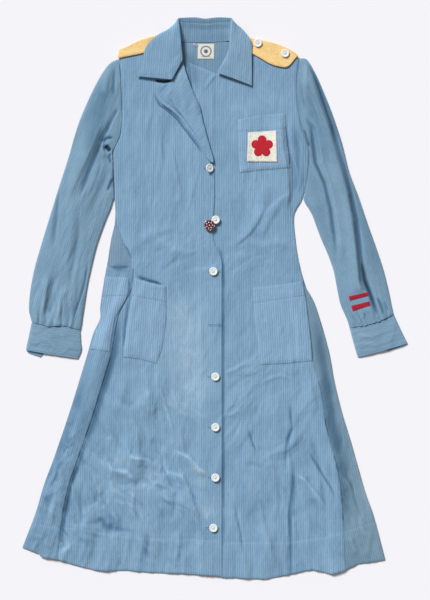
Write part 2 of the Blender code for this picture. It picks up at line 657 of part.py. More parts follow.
def button(name, across, down, under, tilt=0.0):
    r, h = BUTTON_RADIUS, BUTTON_HEIGHT
    shape = [(0, 0), (0.7, 0), (1, 0.45), (0.9, 1), (0.74, 1), (0.56, 0.62), (0, 0.6)]  # shares of r and h
    profile = [(r * u, h * v) for u, v in shape]
    lift = abs(math.sin(math.radians(tilt))) * r * 0.62
    height = highest_under(under, across, down, r) + SEAM_GAP + lift
    return turned(name, profile, (across, down, height), "button_white", tilt=tilt)


def flower(name, centre, under):
    """A plain blossom of round petals, cut from felt."""
    spokes, petals = 40, FLOWER_PETALS
    rims = []
    for k in range(spokes):
        turn = 2.0 * math.pi * k / spokes
        reach = FLOWER_RADIUS * (0.62 + 0.38 * abs(math.cos(petals * turn / 2.0)) ** 0.7)
        rims.append((centre[0] + reach * math.sin(turn), centre[1] - reach * math.cos(turn)))
    spots = [centre] + rims
    heights = [float(under(np.float64(a), np.float64(d))) for a, d in spots]
    points = [place(a, d, z + TRIM) for (a, d), z in zip(spots, heights)]
    points += [place(a, d, z) for (a, d), z in zip(spots, heights)]
    half = spokes + 1
    faces = []
    for k in range(spokes):
        a, b = 1 + k, 1 + (k + 1) % spokes
        faces += [(0, a, b), (half, half + b, half + a), (a, half + a, half + b, b)]
    return add_object(name, points, faces, "red_cloth")


def body():
    panel("back_bodice", BACK_BODICE_ROWS, flat_back, "blue_inside", columns=19)
    panel("back_skirt", BACK_SKIRT_ROWS, flat_back, "blue_cloth", columns=9)
    # Columns stand where the right front starts to climb over the left one's edge and where it is up.
    panel("front_right", FRONT_RIGHT_ROWS, front_right_under, "blue_cloth", steps=2, columns=9, hem=True,
          far=(22.0, 40.0, 54.0))
    panel("front_left", FRONT_LEFT_ROWS, front_left_under, "blue_cloth", columns=11, hem=True,
          far=(25.5, 39.0))
    panel("gore_right", GORE_RIGHT_ROWS, gore_right_under, "blue_cloth", columns=6, hem=True)
    panel("gore_left", GORE_LEFT_ROWS, gore_left_under, "blue_cloth", columns=5, hem=True)
    panel("lapel_right", LAPEL_ROWS, lapel_under, "blue_cloth", columns=6)
    collar()


def pockets():
    panel("pocket_chest", CHEST_POCKET_ROWS, over(front_left_under, 1, 2 * POCKET_SLACK), "blue_cloth",
          steps=2, columns=7)
    panel("pocket_hip_right", HIP_POCKET_RIGHT_ROWS, over(front_right_under, 1, POCKET_SLACK),
          "blue_cloth", steps=2, columns=6)
    panel("pocket_hip_right_side", HIP_POCKET_SIDE_ROWS, over(gore_right_under, 1, POCKET_SLACK),
          "blue_cloth", steps=2, columns=5)
    panel("pocket_hip_left", HIP_POCKET_LEFT_ROWS, over(front_left_under, 1, POCKET_SLACK), "blue_cloth",
          steps=2, columns=8, far=(23.5, 37.5))


def sleeves():
    tube("sleeve_right", SLEEVE_RIGHT_ROWS, sleeve_top, "blue_cloth")
    tube("sleeve_left", SLEEVE_LEFT_ROWS, sleeve_top, "blue_cloth")
    tube("cuff_right", CUFF_RIGHT_ROWS, lambda a, d: np.full_like(a, CUFF_HEIGHT), "blue_cloth", flap=14.0)
    tube("cuff_left", CUFF_LEFT_ROWS, lambda a, d: np.full_like(a, CUFF_HEIGHT), "blue_cloth", flap=5.0)
    for name, corners in SLEEVE_BARS:
        slab(name, corners, lambda a, d: sleeve_top(a, d) + 2 * LAYER_GAP, TRIM, "red_cloth")


def trimmings():
    panel("strap_right", STRAP_RIGHT_ROWS, strap_right_under, "gold_cloth", columns=4, wall=STRAP_WALL)
    panel("strap_left", STRAP_LEFT_ROWS, strap_left_under, "gold_cloth", columns=5, wall=STRAP_WALL)
    slab("chest_patch", PATCH_CORNERS, over(front_left_under, 2, 2 * POCKET_SLACK), TRIM, "white_cloth")
    flower("chest_flower", FLOWER_PLACE, over(front_left_under, 2, 2 * POCKET_SLACK + TRIM + LAYER_GAP))
    slab("neck_label", LABEL_CORNERS, lambda a, d: np.full_like(a, BASE), TRIM, "white_cloth", cells=1)


def fastenings():
    for name, across, down, tilt in BUTTONS:
        button(name, across, down, over(front_right_under), tilt)
    above_strap = STRAP_WALL - CLOTH + 0.1
    button("strap_button_outer", 570.0, 107.5, lambda a, d: strap_left_under(a, d) + CLOTH + above_strap)
    button("strap_button_inner", 515.5, 87.0, lambda a, d: strap_left_under(a, d) + CLOTH + above_strap)
    r, h = BADGE_RADIUS, BADGE_HEIGHT
    across, down = BADGE_PLACE
    foot = highest_under(over(front_right_under), across, down, r) + SEAM_GAP
    rise = BUTTON_HEIGHT + SEAM_GAP
    face = [(0.9, 0), (1, 0.4), (0.95, 0.8), (0.84, 0.8), (0.8, 0.65), (0.4, 1), (0, 1.05)]
    profile = [(0, 0), (BADGE_PIN_RADIUS, 0), (BADGE_PIN_RADIUS, rise)]
    profile += [(r * u, rise + h * v) for u, v in face]
    turned("badge", profile, (across, down, foot), "badge_metal")


def main():
    for old in list(bpy.data.objects):
        bpy.data.objects.remove(old)
    body()
    pockets()
    sleeves()
    trimmings()
    fastenings()


main()
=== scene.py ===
import math

import bmesh
import bpy
import numpy as np
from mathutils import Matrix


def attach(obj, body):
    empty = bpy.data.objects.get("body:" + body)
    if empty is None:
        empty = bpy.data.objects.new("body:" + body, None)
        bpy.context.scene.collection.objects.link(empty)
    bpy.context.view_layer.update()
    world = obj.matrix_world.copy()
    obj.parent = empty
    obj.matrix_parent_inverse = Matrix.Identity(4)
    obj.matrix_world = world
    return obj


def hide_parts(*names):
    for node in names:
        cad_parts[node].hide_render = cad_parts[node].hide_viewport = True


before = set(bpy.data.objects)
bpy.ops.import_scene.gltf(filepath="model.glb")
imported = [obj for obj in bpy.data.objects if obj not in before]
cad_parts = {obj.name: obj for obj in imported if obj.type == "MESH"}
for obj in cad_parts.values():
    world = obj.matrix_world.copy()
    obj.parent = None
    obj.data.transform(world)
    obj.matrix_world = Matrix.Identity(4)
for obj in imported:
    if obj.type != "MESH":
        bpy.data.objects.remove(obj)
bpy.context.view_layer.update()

print("frame loaded")

# Places on the cloth are millimetres on the table: across from its left edge, down from its top.
table = {"across": 430.0, "down": 597.04, "mm": 0.001}
cloth = {
    "wall": 1.2,  # one layer
    "trimWall": 0.7,
    "layerGap": 0.55,
    "seamGap": 0.3,
    "bodyAir": 1.9,  # how far the fronts float over the back
    "sideFade": 48.0,
    "armholeShare": 0.8,
    "lapRamp": 18.0,
    "lapClear": 4.0,
    "slack": 0.3,
    "cell": 2.85,  # size of the mesh's cells
    "backCell": 6.0,
}
# how far a layer settles on the one below it, over what reach, and how much of its wall rolls away
edgeKinds = {
    "free": {"settle": 0.0, "settleReach": 1.0, "roll": 0.45, "rollReach": 2.4},
    "sewn": {"settle": 0.88, "settleReach": 8.0, "roll": 0.55, "rollReach": 3.0},
    "fold": {"settle": 0.85, "settleReach": 15.0, "roll": 0.8, "rollReach": 4.5},
}
layer = cloth["wall"] + cloth["layerGap"]
base = cloth["wall"] + cloth["seamGap"]
made = {}  # the upper surface, top or rim of finished pieces, by name
tiles = 64  # the noises repeat after so many bumps
crease = {"reach": 3.2, "fade": 0.3, "start": 0.15}  # in half widths, then in shares of its length
crumple = {"warp": 0.55, "level": 0.3, "large": 0.85, "middle": 0.42, "small": 0.2, "soft": 0.5}


# Points, curves and surfaces


def smooth(t):
    t = np.clip(t, 0.0, 1.0)
    return t * t * (3.0 - 2.0 * t)


def place(across, down, height):
    x = (np.asarray(across, float) - table["across"]) * table["mm"]
    y = (table["down"] - np.asarray(down, float)) * table["mm"]
    return np.stack(np.broadcast_arrays(x, y, np.asarray(height, float) * table["mm"]), axis=-1)


def onLine(line, at):
    # a line's second coordinate where its first one is 'at'
    return np.interp(at, *np.array(line, float).T)


def runOf(points):
    # how far along their line points lie
    return np.concatenate([[0.0], np.cumsum(np.linalg.norm(np.diff(points, axis=0), axis=-1))])


def fromEnds(count):
    steps = np.arange(count)
    return np.minimum(steps, steps[::-1])


def turnOf(degrees):
    return math.cos(math.radians(degrees)), math.sin(math.radians(degrees))


def newObject(name, data):
    piece = bpy.data.objects.new(name, data)
    bpy.context.scene.collection.objects.link(piece)
    return piece


def meshOf(name, shell):
    bmesh.ops.recalc_face_normals(shell, faces=shell.faces)
    mesh = bpy.data.meshes.new(name)
    shell.to_mesh(mesh)
    shell.free()
    return mesh


def rowPoints(points, shares):
    points = np.array(points, float)
    at = np.clip(shares, 0.0, 1.0) * (len(points) - 1)
    i = np.minimum(at.astype(int), len(points) - 2)
    f = (at - i)[:, None]
    return points[i] * (1.0 - f) + points[i + 1] * f


def splineAt(knots, t):
    # a smooth curve through knots, which may be whole rows of points
    i = np.minimum(t.astype(int), len(knots) - 2)
    shape = (-1,) + (1,) * (knots.ndim - 1)
    f = (t - i).reshape(shape)
    padded = np.concatenate([2 * knots[:1] - knots[1:2], knots, 2 * knots[-1:] - knots[-2:-1]])
    p0, p1, p2, p3 = padded[i], padded[i + 1], padded[i + 2], padded[i + 3]
    bend = (2 * p0 - 5 * p1 + 4 * p2 - p3) * f * f + (3 * p1 - p0 - 3 * p2 + p3) * f**3
    return 0.5 * (2 * p1 + (p2 - p0) * f + bend)


def evenSteps(knots, cell):
    # parameters along rows of points, about one cell apart
    gaps = np.linalg.norm(np.diff(knots[..., :2], axis=0), axis=-1)
    gaps = gaps.reshape(len(knots) - 1, -1).max(axis=1)
    pieces = [i + np.arange(n) / n for i, n in enumerate(np.maximum(1, np.round(gaps / cell)).astype(int))]
    return np.concatenate(pieces + [[len(knots) - 1.0]])


def fineGrid(rows, cell):
    widths = [np.linalg.norm(np.subtract(row[-1], row[0])) for row in rows]
    columns = max(4, int(round(max(widths) / cell)) + 1)
    shares = np.linspace(0.0, 1.0, columns)
    knots = np.stack([rowPoints(row, shares) for row in rows])
    return splineAt(knots, evenSteps(knots, cell))


def edgeAcross(rows, side, down):
    return onLine(sorted((row[side][1], row[side][0]) for row in rows), down)


def creaseField(creases, across, down):
    # Soft ridges (+) and troughs (-). lean makes the side to the right of the path steep (+) or flat (-).
    shape = np.shape(across)
    a, d = np.ravel(across), np.ravel(down)
    total = np.zeros(len(a))
    for path, width, height, lean in creases:
        path = np.array(path, float)
        margin = crease["reach"] * width
        low, high = path.min(axis=0) - margin, path.max(axis=0) + margin
        near = np.nonzero((a > low[0]) & (a < high[0]) & (d > low[1]) & (d < high[1]))[0]
        if not len(near):
            continue
        p = np.stack([a[near], d[near]], axis=1)
        best = np.full(len(near), 1e9)
        side, at = np.zeros(len(near)), np.zeros(len(near))
        lengths = np.linalg.norm(np.diff(path, axis=0), axis=1)
        whole = max(lengths.sum(), 1e-6)
        run = 0.0
        for start, end, length in zip(path[:-1], path[1:], lengths):
            way = (end - start) / max(length, 1e-6)
            off = p - start
            t = np.clip(off @ way, 0.0, length)
            gap = np.linalg.norm(off - t[:, None] * way, axis=1)
            closer = gap < best
            best = np.where(closer, gap, best)
            side = np.where(closer, np.sign(off[:, 0] * way[1] - off[:, 1] * way[0]), side)
            at = np.where(closer, run + t, at)
            run += length
        end = crease["fade"] * whole
        fade = smooth(at / end + crease["start"]) * smooth((whole - at) / end + crease["start"])
        spread = width * np.where(side > 0, 1.0 - lean, 1.0 + lean)
        total[near] += height * fade * np.exp(-((best / spread) ** 2))
    return total.reshape(shape)


def latticeNoise(x, y, seed):
    # smooth noise from about -1 to 1, with one bump to a unit
    turns = np.random.default_rng(seed).uniform(0.0, 2.0 * math.pi, (tiles, tiles))
    i, j = np.floor(x).astype(int), np.floor(y).astype(int)
    fx, fy = x - i, y - j
    sx, sy = fx**3 * (fx * (6.0 * fx - 15.0) + 10.0), fy**3 * (fy * (6.0 * fy - 15.0) + 10.0)
    total = np.zeros(np.shape(x))
    for stepX in (0, 1):
        for stepY in (0, 1):
            turn = turns[(i + stepX) % tiles, (j + stepY) % tiles]
            slope = np.cos(turn) * (fx - stepX) + np.sin(turn) * (fy - stepY)
            total += slope * (sx if stepX else 1.0 - sx) * (sy if stepY else 1.0 - sy)
    return total * 1.5


def facets(x, y, seed, sharp=9.0):
    # planes of random tilt about scattered points, blended where they meet
    dice = np.random.default_rng(seed)
    spots = dice.uniform(0.1, 0.9, (tiles, tiles, 2))
    tilts = dice.normal(0.0, 0.85, (tiles, tiles, 2))
    i, j = np.floor(x).astype(int), np.floor(y).astype(int)
    total, weight = np.zeros(np.shape(x)), np.full(np.shape(x), 1e-9)
    for stepX in (-1, 0, 1):
        for stepY in (-1, 0, 1):
            at = (i + stepX) % tiles, (j + stepY) % tiles
            spot, tilt = spots[at], tilts[at]
            offX, offY = x - i - stepX - spot[..., 0], y - j - stepY - spot[..., 1]
            share = np.exp(-sharp * (offX * offX + offY * offY))
            total += share * (offX * tilt[..., 0] + offY * tilt[..., 1])
            weight += share
    return total / weight


def crumpled(across, down, patches):
    # Tilted facets that meet in creases, as in cotton that was washed and worn. Each patch gives its
    # middle, half sizes, the creases' angle, length and spacing, the height and a seed.
    total = np.zeros(np.shape(across))
    for middle, half, angle, length, spacing, height, seed in patches:
        away = ((across - middle[0]) / half[0]) ** 4 + ((down - middle[1]) / half[1]) ** 4
        near = away < 6.0
        if not np.any(near):
            continue
        a, d = across[near], down[near]
        c, n = turnOf(angle)
        u, v = (a * c + d * n) / spacing, (d * c - a * n) / length
        u = u + crumple["warp"] * latticeNoise(u * 0.5 + 5.0, v * 0.7, seed)
        v = v + crumple["warp"] * latticeNoise(u * 0.6, v * 0.5 + 9.0, seed + 1)
        mixed = crumple["level"] + facets(u, v, seed + 2, 8.0) * crumple["large"]
        mixed = mixed + facets(u * 2.1 + 3.0, v * 1.9, seed + 3) * crumple["middle"]
        mixed = mixed + facets(u * 4.3, v * 3.7 + 2.0, seed + 4) * crumple["small"]
        mixed = mixed + latticeNoise(u * 0.45, v * 0.5, seed + 5) * crumple["soft"]
        total[near] += height * np.exp(-away[near]) * mixed
    return total


def waves(across, down, seed, size, height):
    # gentle unevenness from a few crossing waves
    dice = np.random.default_rng(seed)
    total = np.zeros(np.shape(across))
    for _ in range(7):
        turn, phase = dice.uniform(0, 2 * math.pi), dice.uniform(0, 2 * math.pi)
        pitch = size * dice.uniform(0.6, 1.7)
        total += np.sin((across * math.cos(turn) + down * math.sin(turn)) * 2 * math.pi / pitch + phase)
    return total * height / 3.5


def blurred(grid, times):
    for _ in range(times):
        wide = np.pad(grid, 1, mode="edge")
        grid = (wide[:-2, 1:-1] + wide[2:, 1:-1] + wide[1:-1, :-2] + wide[1:-1, 2:] + 2 * grid) / 6.0
    return grid


def wearAndShadeOf(heights, gain=1.0, paintedShades=0.0):
    # rubbing and painted light: 0 in troughs (painted shade), 1 on ridges (paler, for rubbing and painted
    # highlight), from how far a point stands off its blurred surroundings; below 0 in holes (painted shadow);
    # painted shade and highlight lines are added on top
    return np.clip(0.5 + (heights - blurred(heights, 6)) * 0.5 * gain + paintedShades, -1.0, 1.0)


def wallQuads(rows, columns):
    index = np.arange(rows * columns).reshape(rows, columns)
    a, b, c, d = index[:-1, :-1], index[1:, :-1], index[1:, 1:], index[:-1, 1:]
    upper = np.stack([a, b, c, d], axis=-1).reshape(-1, 4)
    lower = upper[:, ::-1] + rows * columns
    rim = np.concatenate([index[0, :-1], index[:-1, -1], index[-1, :0:-1], index[:0:-1, 0]])
    after = np.roll(rim, -1)
    sides = np.stack([rim, after, after + rows * columns, rim + rows * columns], axis=-1)
    return np.concatenate([upper, lower, sides])


def addMesh(name, points, quads, corners, wearAndShade, finish):
    # corners holds the grain coordinates of each corner of each face, in millimetres
    first, second, third, fourth = (points[quads[:, k]] for k in range(4))
    volume = np.einsum("ij,ij->i", first, np.cross(second, third)).sum()
    volume += np.einsum("ij,ij->i", first, np.cross(third, fourth)).sum()
    if volume < 0:
        quads, corners = quads[:, ::-1], corners[:, ::-1]
    mesh = bpy.data.meshes.new(name)
    mesh.vertices.add(len(points))
    mesh.vertices.foreach_set("co", points.ravel())
    mesh.loops.add(quads.size)
    mesh.loops.foreach_set("vertex_index", np.ascontiguousarray(quads, dtype=np.int32).ravel())
    mesh.polygons.add(len(quads))
    mesh.polygons.foreach_set("loop_start", np.arange(0, quads.size, 4, dtype=np.int32))
    mesh.update(calc_edges=True)
    mesh.validate()
    layout = mesh.uv_layers.new(name="Grain")
    layout.data.foreach_set("uv", np.ascontiguousarray(corners, dtype=np.float32).ravel())
    # this attribute carries the rubbing together with painted shade and painted highlight
    wornAndShaded = mesh.attributes.new("wearAndShade", "FLOAT", "POINT")
    wornAndShaded.data.foreach_set("value", np.ascontiguousarray(wearAndShade, dtype=np.float32).ravel())
    mesh.shade_smooth()
    mesh.set_sharp_from_angle(angle=math.radians(62))
    mesh.materials.append(finish)
    return newObject(name + "_cloth", mesh)


def turnedGrain(across, down, degrees):
    c, s = turnOf(degrees)
    return np.stack([across * c + down * s, down * c - across * s], axis=-1)


def finishPiece(piece, nodes):
    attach(piece, "root")
    if nodes:
        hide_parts(*nodes)


def edgeDrops(grid, edges):
    # shares of the gap and of the wall that are lost towards each edge
    stepsAcross = np.linalg.norm(np.diff(grid, axis=1), axis=-1)
    stepsDown = np.linalg.norm(np.diff(grid, axis=0), axis=-1)
    fromLeft = np.pad(np.cumsum(stepsAcross, axis=1), ((0, 0), (1, 0)))
    fromTop = np.pad(np.cumsum(stepsDown, axis=0), ((1, 0), (0, 0)))
    away = {"left": fromLeft, "right": fromLeft[:, -1:] - fromLeft}
    away.update({"top": fromTop, "bottom": fromTop[-1:] - fromTop})
    settle, roll = np.zeros(fromLeft.shape), np.zeros(fromLeft.shape)
    for side, distance in away.items():
        kind = edgeKinds[edges.get(side, "free")]
        near = np.clip(1.0 - distance / kind["rollReach"], 0.0, 1.0)
        roll = np.maximum(roll, kind["roll"] * (1.0 - np.sqrt(1.0 - near * near)))
        settle = np.maximum(settle, kind["settle"] * smooth(1.0 - distance / kind["settleReach"]))
    return settle, roll


def panel(name, cut, under, finish):
    # A layer of cloth between the edges of its rows, lying on the surface 'under'.
    grid = fineGrid(cut["rows"], cut.get("cell", cloth["cell"]))
    if "hem" in cut:
        # as many of its last rows move down to the hem's line
        count, reach = len(grid), cut["hem"]
        share = smooth((np.arange(count) - (count - 1 - reach)) / reach)
        grid[:, :, 1] += share[:, None] * (onLine(hemLine, grid[-1, :, 0]) - grid[-1, :, 1])[None, :]
    across, down = grid[..., 0], grid[..., 1]
    low = under(across, down)
    settle, roll = edgeDrops(grid, cut.get("edges", {}))
    low = low - settle * cut.get("gap", cloth["seamGap"])
    top = low + cut.get("wall", cloth["wall"]) * (1.0 - roll)
    if "thicker" in cut:
        top = top + cut["thicker"](across, down)
    upper, lower = place(across, down, top), place(across, down, low)
    quads = wallQuads(*low.shape)
    grain = turnedGrain(across + 0.35 * (top - top.mean()), down, cut.get("grain", 0.0)).reshape(-1, 2)
    corners = np.concatenate([grain, grain + [0.0, 1.0]])[quads]
    # painted shade and painted highlight: the piece's own, or the body's together with the painted facet shading
    if "paintedShades" in cut:
        paintedShades = creaseField(cut["paintedShades"], across, down)
    else:
        paintedShades = creaseField(bodyPaintedShades, across, down) + paintedFacetShading(across, down)
    wearAndShade = wearAndShadeOf(top, 0.5, paintedShades).ravel()
    # the lower side is painted a little darker, as shade
    wearAndShade = np.concatenate([wearAndShade, np.full(wearAndShade.shape, 0.35)])
    points = np.concatenate([upper.reshape(-1, 3), lower.reshape(-1, 3)])
    piece = addMesh(name, points, quads, corners, wearAndShade, finish)
    made[name] = {"upper": upper}
    widths = np.linalg.norm(np.diff(upper, axis=1), axis=-1).sum(axis=1)
    lengths = np.linalg.norm(np.diff(upper, axis=0), axis=-1).sum(axis=0)
    flat = (float(widths.max()), float(lengths.max()))
    flat = flat if min(flat) > 0.01 else None  # a braid narrower than that is no sheet
    finishPiece(piece, [] if "slot" in cut else [name])


# Finishes: a small wrapper lets shader maths be written as plain expressions


class Wire:
    def __init__(self, maker, socket):
        self.maker = maker
        self.socket = socket

    def __add__(self, other):
        return self.maker.maths("ADD", self, other)

    def __sub__(self, other):
        return self.maker.maths("SUBTRACT", self, other)

    def __mul__(self, other):
        return self.maker.maths("MULTIPLY", self, other)

    def __pow__(self, other):
        return self.maker.maths("POWER", self, other)


class Maker:
    def __init__(self, name):
        self.material = bpy.data.materials.new(name)
        self.material.use_nodes = True
        self.tree = self.material.node_tree
        self.shader = self.tree.nodes["Principled BSDF"]

    def node(self, kind, settings=None, inputs=None, output=0):
        made = self.tree.nodes.new(kind)
        for key, value in (settings or {}).items():
            setattr(made, key, value)
        for key, value in (inputs or {}).items():
            self.feed(made.inputs[key], value)
        return Wire(self, made.outputs[output])

    def feed(self, socket, value):
        if isinstance(value, Wire):
            self.tree.links.new(value.socket, socket)
        elif isinstance(value, tuple) and len(value) == 3 and socket.type == "RGBA":
            socket.default_value = (*value, 1.0)
        else:
            socket.default_value = value

    def grain(self):
        # the cloth's own millimetres: both together, across the threads and along them
        grain = self.node("ShaderNodeUVMap", {"uv_map": "Grain"})
        return [grain] + [self.node("ShaderNodeSeparateXYZ", {}, {0: grain}, k) for k in range(2)]

    # the cloth's rubbing together with its painted shade and painted highlight
    def wearAndShade(self):
        return self.node("ShaderNodeAttribute", {"attribute_name": "wearAndShade"}, {}, 2)

    def where(self):
        return self.node("ShaderNodeTexCoord", {}, {}, 3)

    def maths(self, operation, *values):
        return self.node("ShaderNodeMath", {"operation": operation}, dict(enumerate(values)))

    def mix(self, share, first, second, blend="MIX"):
        settings = {"data_type": "RGBA", "blend_type": blend}
        return self.node("ShaderNodeMix", settings, {0: share, 6: first, 7: second}, 2)

    def ramp(self, value, low, high, start=0.0, end=1.0):
        inputs = dict(enumerate((value, low, high, start, end)))
        return self.node("ShaderNodeMapRange", {"interpolation_type": "SMOOTHSTEP"}, inputs)

    def sine(self, value, pitch):
        return self.maths("SINE", value * (2 * math.pi / pitch))

    def noise(self, vector, scale, detail=2.0, rough=0.5):
        inputs = {"Vector": vector, "Scale": scale, "Detail": detail, "Roughness": rough}
        return self.node("ShaderNodeTexNoise", {}, inputs)

    def stretched(self, vector, x, y, z=1.0):
        return self.node("ShaderNodeVectorMath", {"operation": "MULTIPLY"}, {0: vector, 1: (x, y, z)})

    def bump(self, height, distance, strength=1.0, under=None):
        inputs = {"Height": height, "Distance": distance, "Strength": strength}
        if under is not None:
            inputs["Normal"] = under
        return self.node("ShaderNodeBump", {}, inputs)

    def finish(self, **sockets):
        for name, value in sockets.items():
            self.feed(self.shader.inputs[name.replace("_", " ")], value)
        return self.material


stripedCotton = {
    "ground": (0.152, 0.299, 0.459),
    "stripe": (0.41, 0.555, 0.675),
    # a darker tone of the cloth, also used as painted shade in troughs, folds and under edges
    "deepAndShade": (0.070, 0.165, 0.285),
    # painted shadow inside holes and cavities
    "hole": (0.012, 0.030, 0.055),
    "pitch": 4.4,  # mm from stripe to stripe
    "thread": 0.62,  # mm from thread to thread
    "stripes": 0.47,  # how pale the stripes are
    "streakWidth": 2.4,
    "creaseBump": 0.42,
}


def clothFinish(name, tint=(1.0, 1.0, 1.0), dim=1.0, stripes=stripedCotton["stripes"], look=stripedCotton):
    m = Maker(name)
    grain, u, v = m.grain()
    wearAndShade = m.wearAndShade()
    streaks = m.noise(m.stretched(grain, 1.0 / look["streakWidth"], 0.018), 1.0, 3.0, 0.7)
    slubs = m.noise(m.stretched(grain, 0.9, 0.06), 1.0, 2.0, 0.6)
    blotches = m.noise(m.stretched(grain, 0.02, 0.012), 1.0, 4.0, 0.6)
    speckle = m.noise(m.stretched(grain, 0.42, 0.26), 1.0, 3.0, 0.7)
    sway = (slubs - 0.5) * 0.9
    line = m.sine(u + sway, look["pitch"]) * 0.5 + 0.5
    fine = m.sine(u, look["pitch"] / 3.0) * 0.5 + 0.5
    pale = m.ramp(line * 0.7 + fine * 0.3, 0.45, 0.95) * m.ramp(streaks, 0.3, 0.62, 0.62, 1.0)
    weftLine = m.sine(v + sway * 2.0, look["pitch"] * 1.13) * 0.5 + 0.5
    lines = pale * stripes + (look["stripes"] - stripes) * 0.4
    lines = lines + weftLine * m.ramp(streaks, 0.35, 0.65) * 0.08 + 0.03
    colour = m.mix(lines, look["ground"], look["stripe"])
    washes = [
        (m.ramp(slubs, 0.5, 0.78) * 0.2, "stripe"),
        (m.ramp(slubs, 0.5, 0.2) * 0.14, "deepAndShade"),
        (m.ramp(blotches, 0.4, 0.7) * 0.14, "deepAndShade"),
        (m.ramp(blotches, 0.45, 0.2) * 0.14, "stripe"),
        # paler on ridges and speckled paler on the highest: rubbing together with painted highlight
        (m.ramp(wearAndShade, 0.5, 1.0) * 0.42, "stripe"),
        (m.ramp(wearAndShade, 0.62, 1.0) * m.ramp(speckle, 0.4, 0.62) * 0.4, "stripe"),
        # darker in troughs, folds and under edges: painted shade
        (m.ramp(wearAndShade, 0.5, 0.0) * 0.9, "deepAndShade"),
        # near black below 0: painted shadow in holes
        (m.ramp(wearAndShade, 0.05, -0.6) * 0.9, "hole"),
    ]
    for share, tone in washes:
        colour = m.mix(share, colour, look[tone])
    colour = m.mix(1.0, colour, tuple(t * dim for t in tint), "MULTIPLY")
    weave = m.bump(m.sine(u, look["thread"]) * m.sine(v, look["thread"]) + slubs * 1.5, 0.00006, 0.6)
    rumple = m.noise(m.stretched(grain, 0.075, 0.022), 1.0, 3.0, 0.55)
    crinkles = m.maths("ABSOLUTE", m.noise(m.stretched(grain, 0.24, 0.07), 1.0, 2.0, 0.5) - 0.5)
    creased = rumple - crinkles * m.ramp(blotches, 0.3, 0.65, 0.35, 1.0) * 0.5
    return m.finish(
        Base_Color=colour, Roughness=m.ramp(slubs, 0.2, 0.8, 0.82, 0.95),
        Normal=m.bump(creased, 0.0042 * look["creaseBump"], 1.0, weave),
        Sheen_Weight=0.12, Sheen_Roughness=0.5, Specular_IOR_Level=0.25,
    )


def plainCloth(name, ground, shade, thread=0.55, rough=0.88, bumpSize=0.00008, cloud=0.08):
    m = Maker(name)
    grain, u, v = m.grain()
    wearAndShade = m.wearAndShade()
    clouds = m.noise(grain, cloud, 3.0, 0.6)
    slubs = m.noise(m.stretched(grain, 0.15, 1.2), 1.0, 2.0, 0.6)
    rib = m.sine(u + v, thread * 1.6) * 0.5 + 0.5
    colour = m.mix(m.ramp(clouds, 0.35, 0.7) * 0.5, ground, shade)
    colour = m.mix(rib * 0.14 + m.ramp(slubs, 0.45, 0.8) * 0.16, colour, shade)
    # darker in troughs: painted shade
    colour = m.mix(m.ramp(wearAndShade, 0.45, 0.0) * 0.4, colour, shade)
    weave = m.bump(m.sine(u, thread) * m.sine(v, thread) + rib, bumpSize, 0.8)
    normal = m.bump(m.noise(grain, 0.16, 2.0), 0.0006, 1.0, weave)
    sheen = {"Sheen_Weight": 0.1, "Specular_IOR_Level": 0.25}
    return m.finish(Base_Color=colour, Roughness=rough, Normal=normal, **sheen)


def feltFinish(name, ground, shade):
    m = Maker(name)
    where = m.where()
    fuzz = m.noise(where, 900.0, 4.0, 0.75)
    clouds = m.noise(where, 120.0, 2.0, 0.5)
    colour = m.mix(m.ramp(fuzz, 0.35, 0.7) * 0.6, ground, shade)
    colour = m.mix(m.ramp(clouds, 0.4, 0.7) * 0.3, colour, shade)
    return m.finish(Base_Color=colour, Roughness=0.95, Normal=m.bump(fuzz, 0.0004, 0.9), Sheen_Weight=0.15)


def plasticFinish(name, ground, shade, rough):
    m = Maker(name)
    where = m.where()
    swirl = m.noise(where, 160.0, 3.0, 0.6)
    scratches = m.noise(m.stretched(where, 900.0, 2500.0, 900.0), 1.0, 2.0, 0.6)
    colour = m.mix(m.ramp(swirl, 0.35, 0.75) * 0.5, ground, shade)
    normal = m.bump(scratches * 0.4 + swirl * 0.6, 0.00005, 0.5)
    return m.finish(
        Base_Color=colour, Roughness=m.ramp(scratches, 0.3, 0.8, rough, rough + 0.2), Normal=normal,
        Coat_Weight=0.25, Coat_Roughness=0.2,
    )


finishKinds = {  # the noise, where and how much it brings the shade in, its roughness and bump, other sockets
    "thread": ((1500.0, 2.0, 0.5), (0.35, 0.7), 0.5, (0.8, 0.8), (0.0001, 0.6), {"Sheen_Weight": 0.15}),
    "metal": ((420.0, 4.0, 0.65), (0.4, 0.75), 0.7, (0.28, 0.5), (0.00004, 0.5), {"Metallic": 1.0}),
    "enamel": ((300.0, 2.0, 0.5), (0.3, 0.7), 0.6, (0.22, 0.22), (0.00003, 0.4), {"Coat_Weight": 0.6}),
}


def smallFinish(kind, name, ground, shade):
    noise, between, most, rough, relief, others = finishKinds[kind]
    m = Maker(name)
    grains = m.noise(m.where(), *noise)
    colour = m.mix(m.ramp(grains, *between) * most, ground, shade)
    roughness = m.ramp(grains, 0.3, 0.8, *rough)
    return m.finish(Base_Color=colour, Roughness=roughness, Normal=m.bump(grains, *relief), **others)


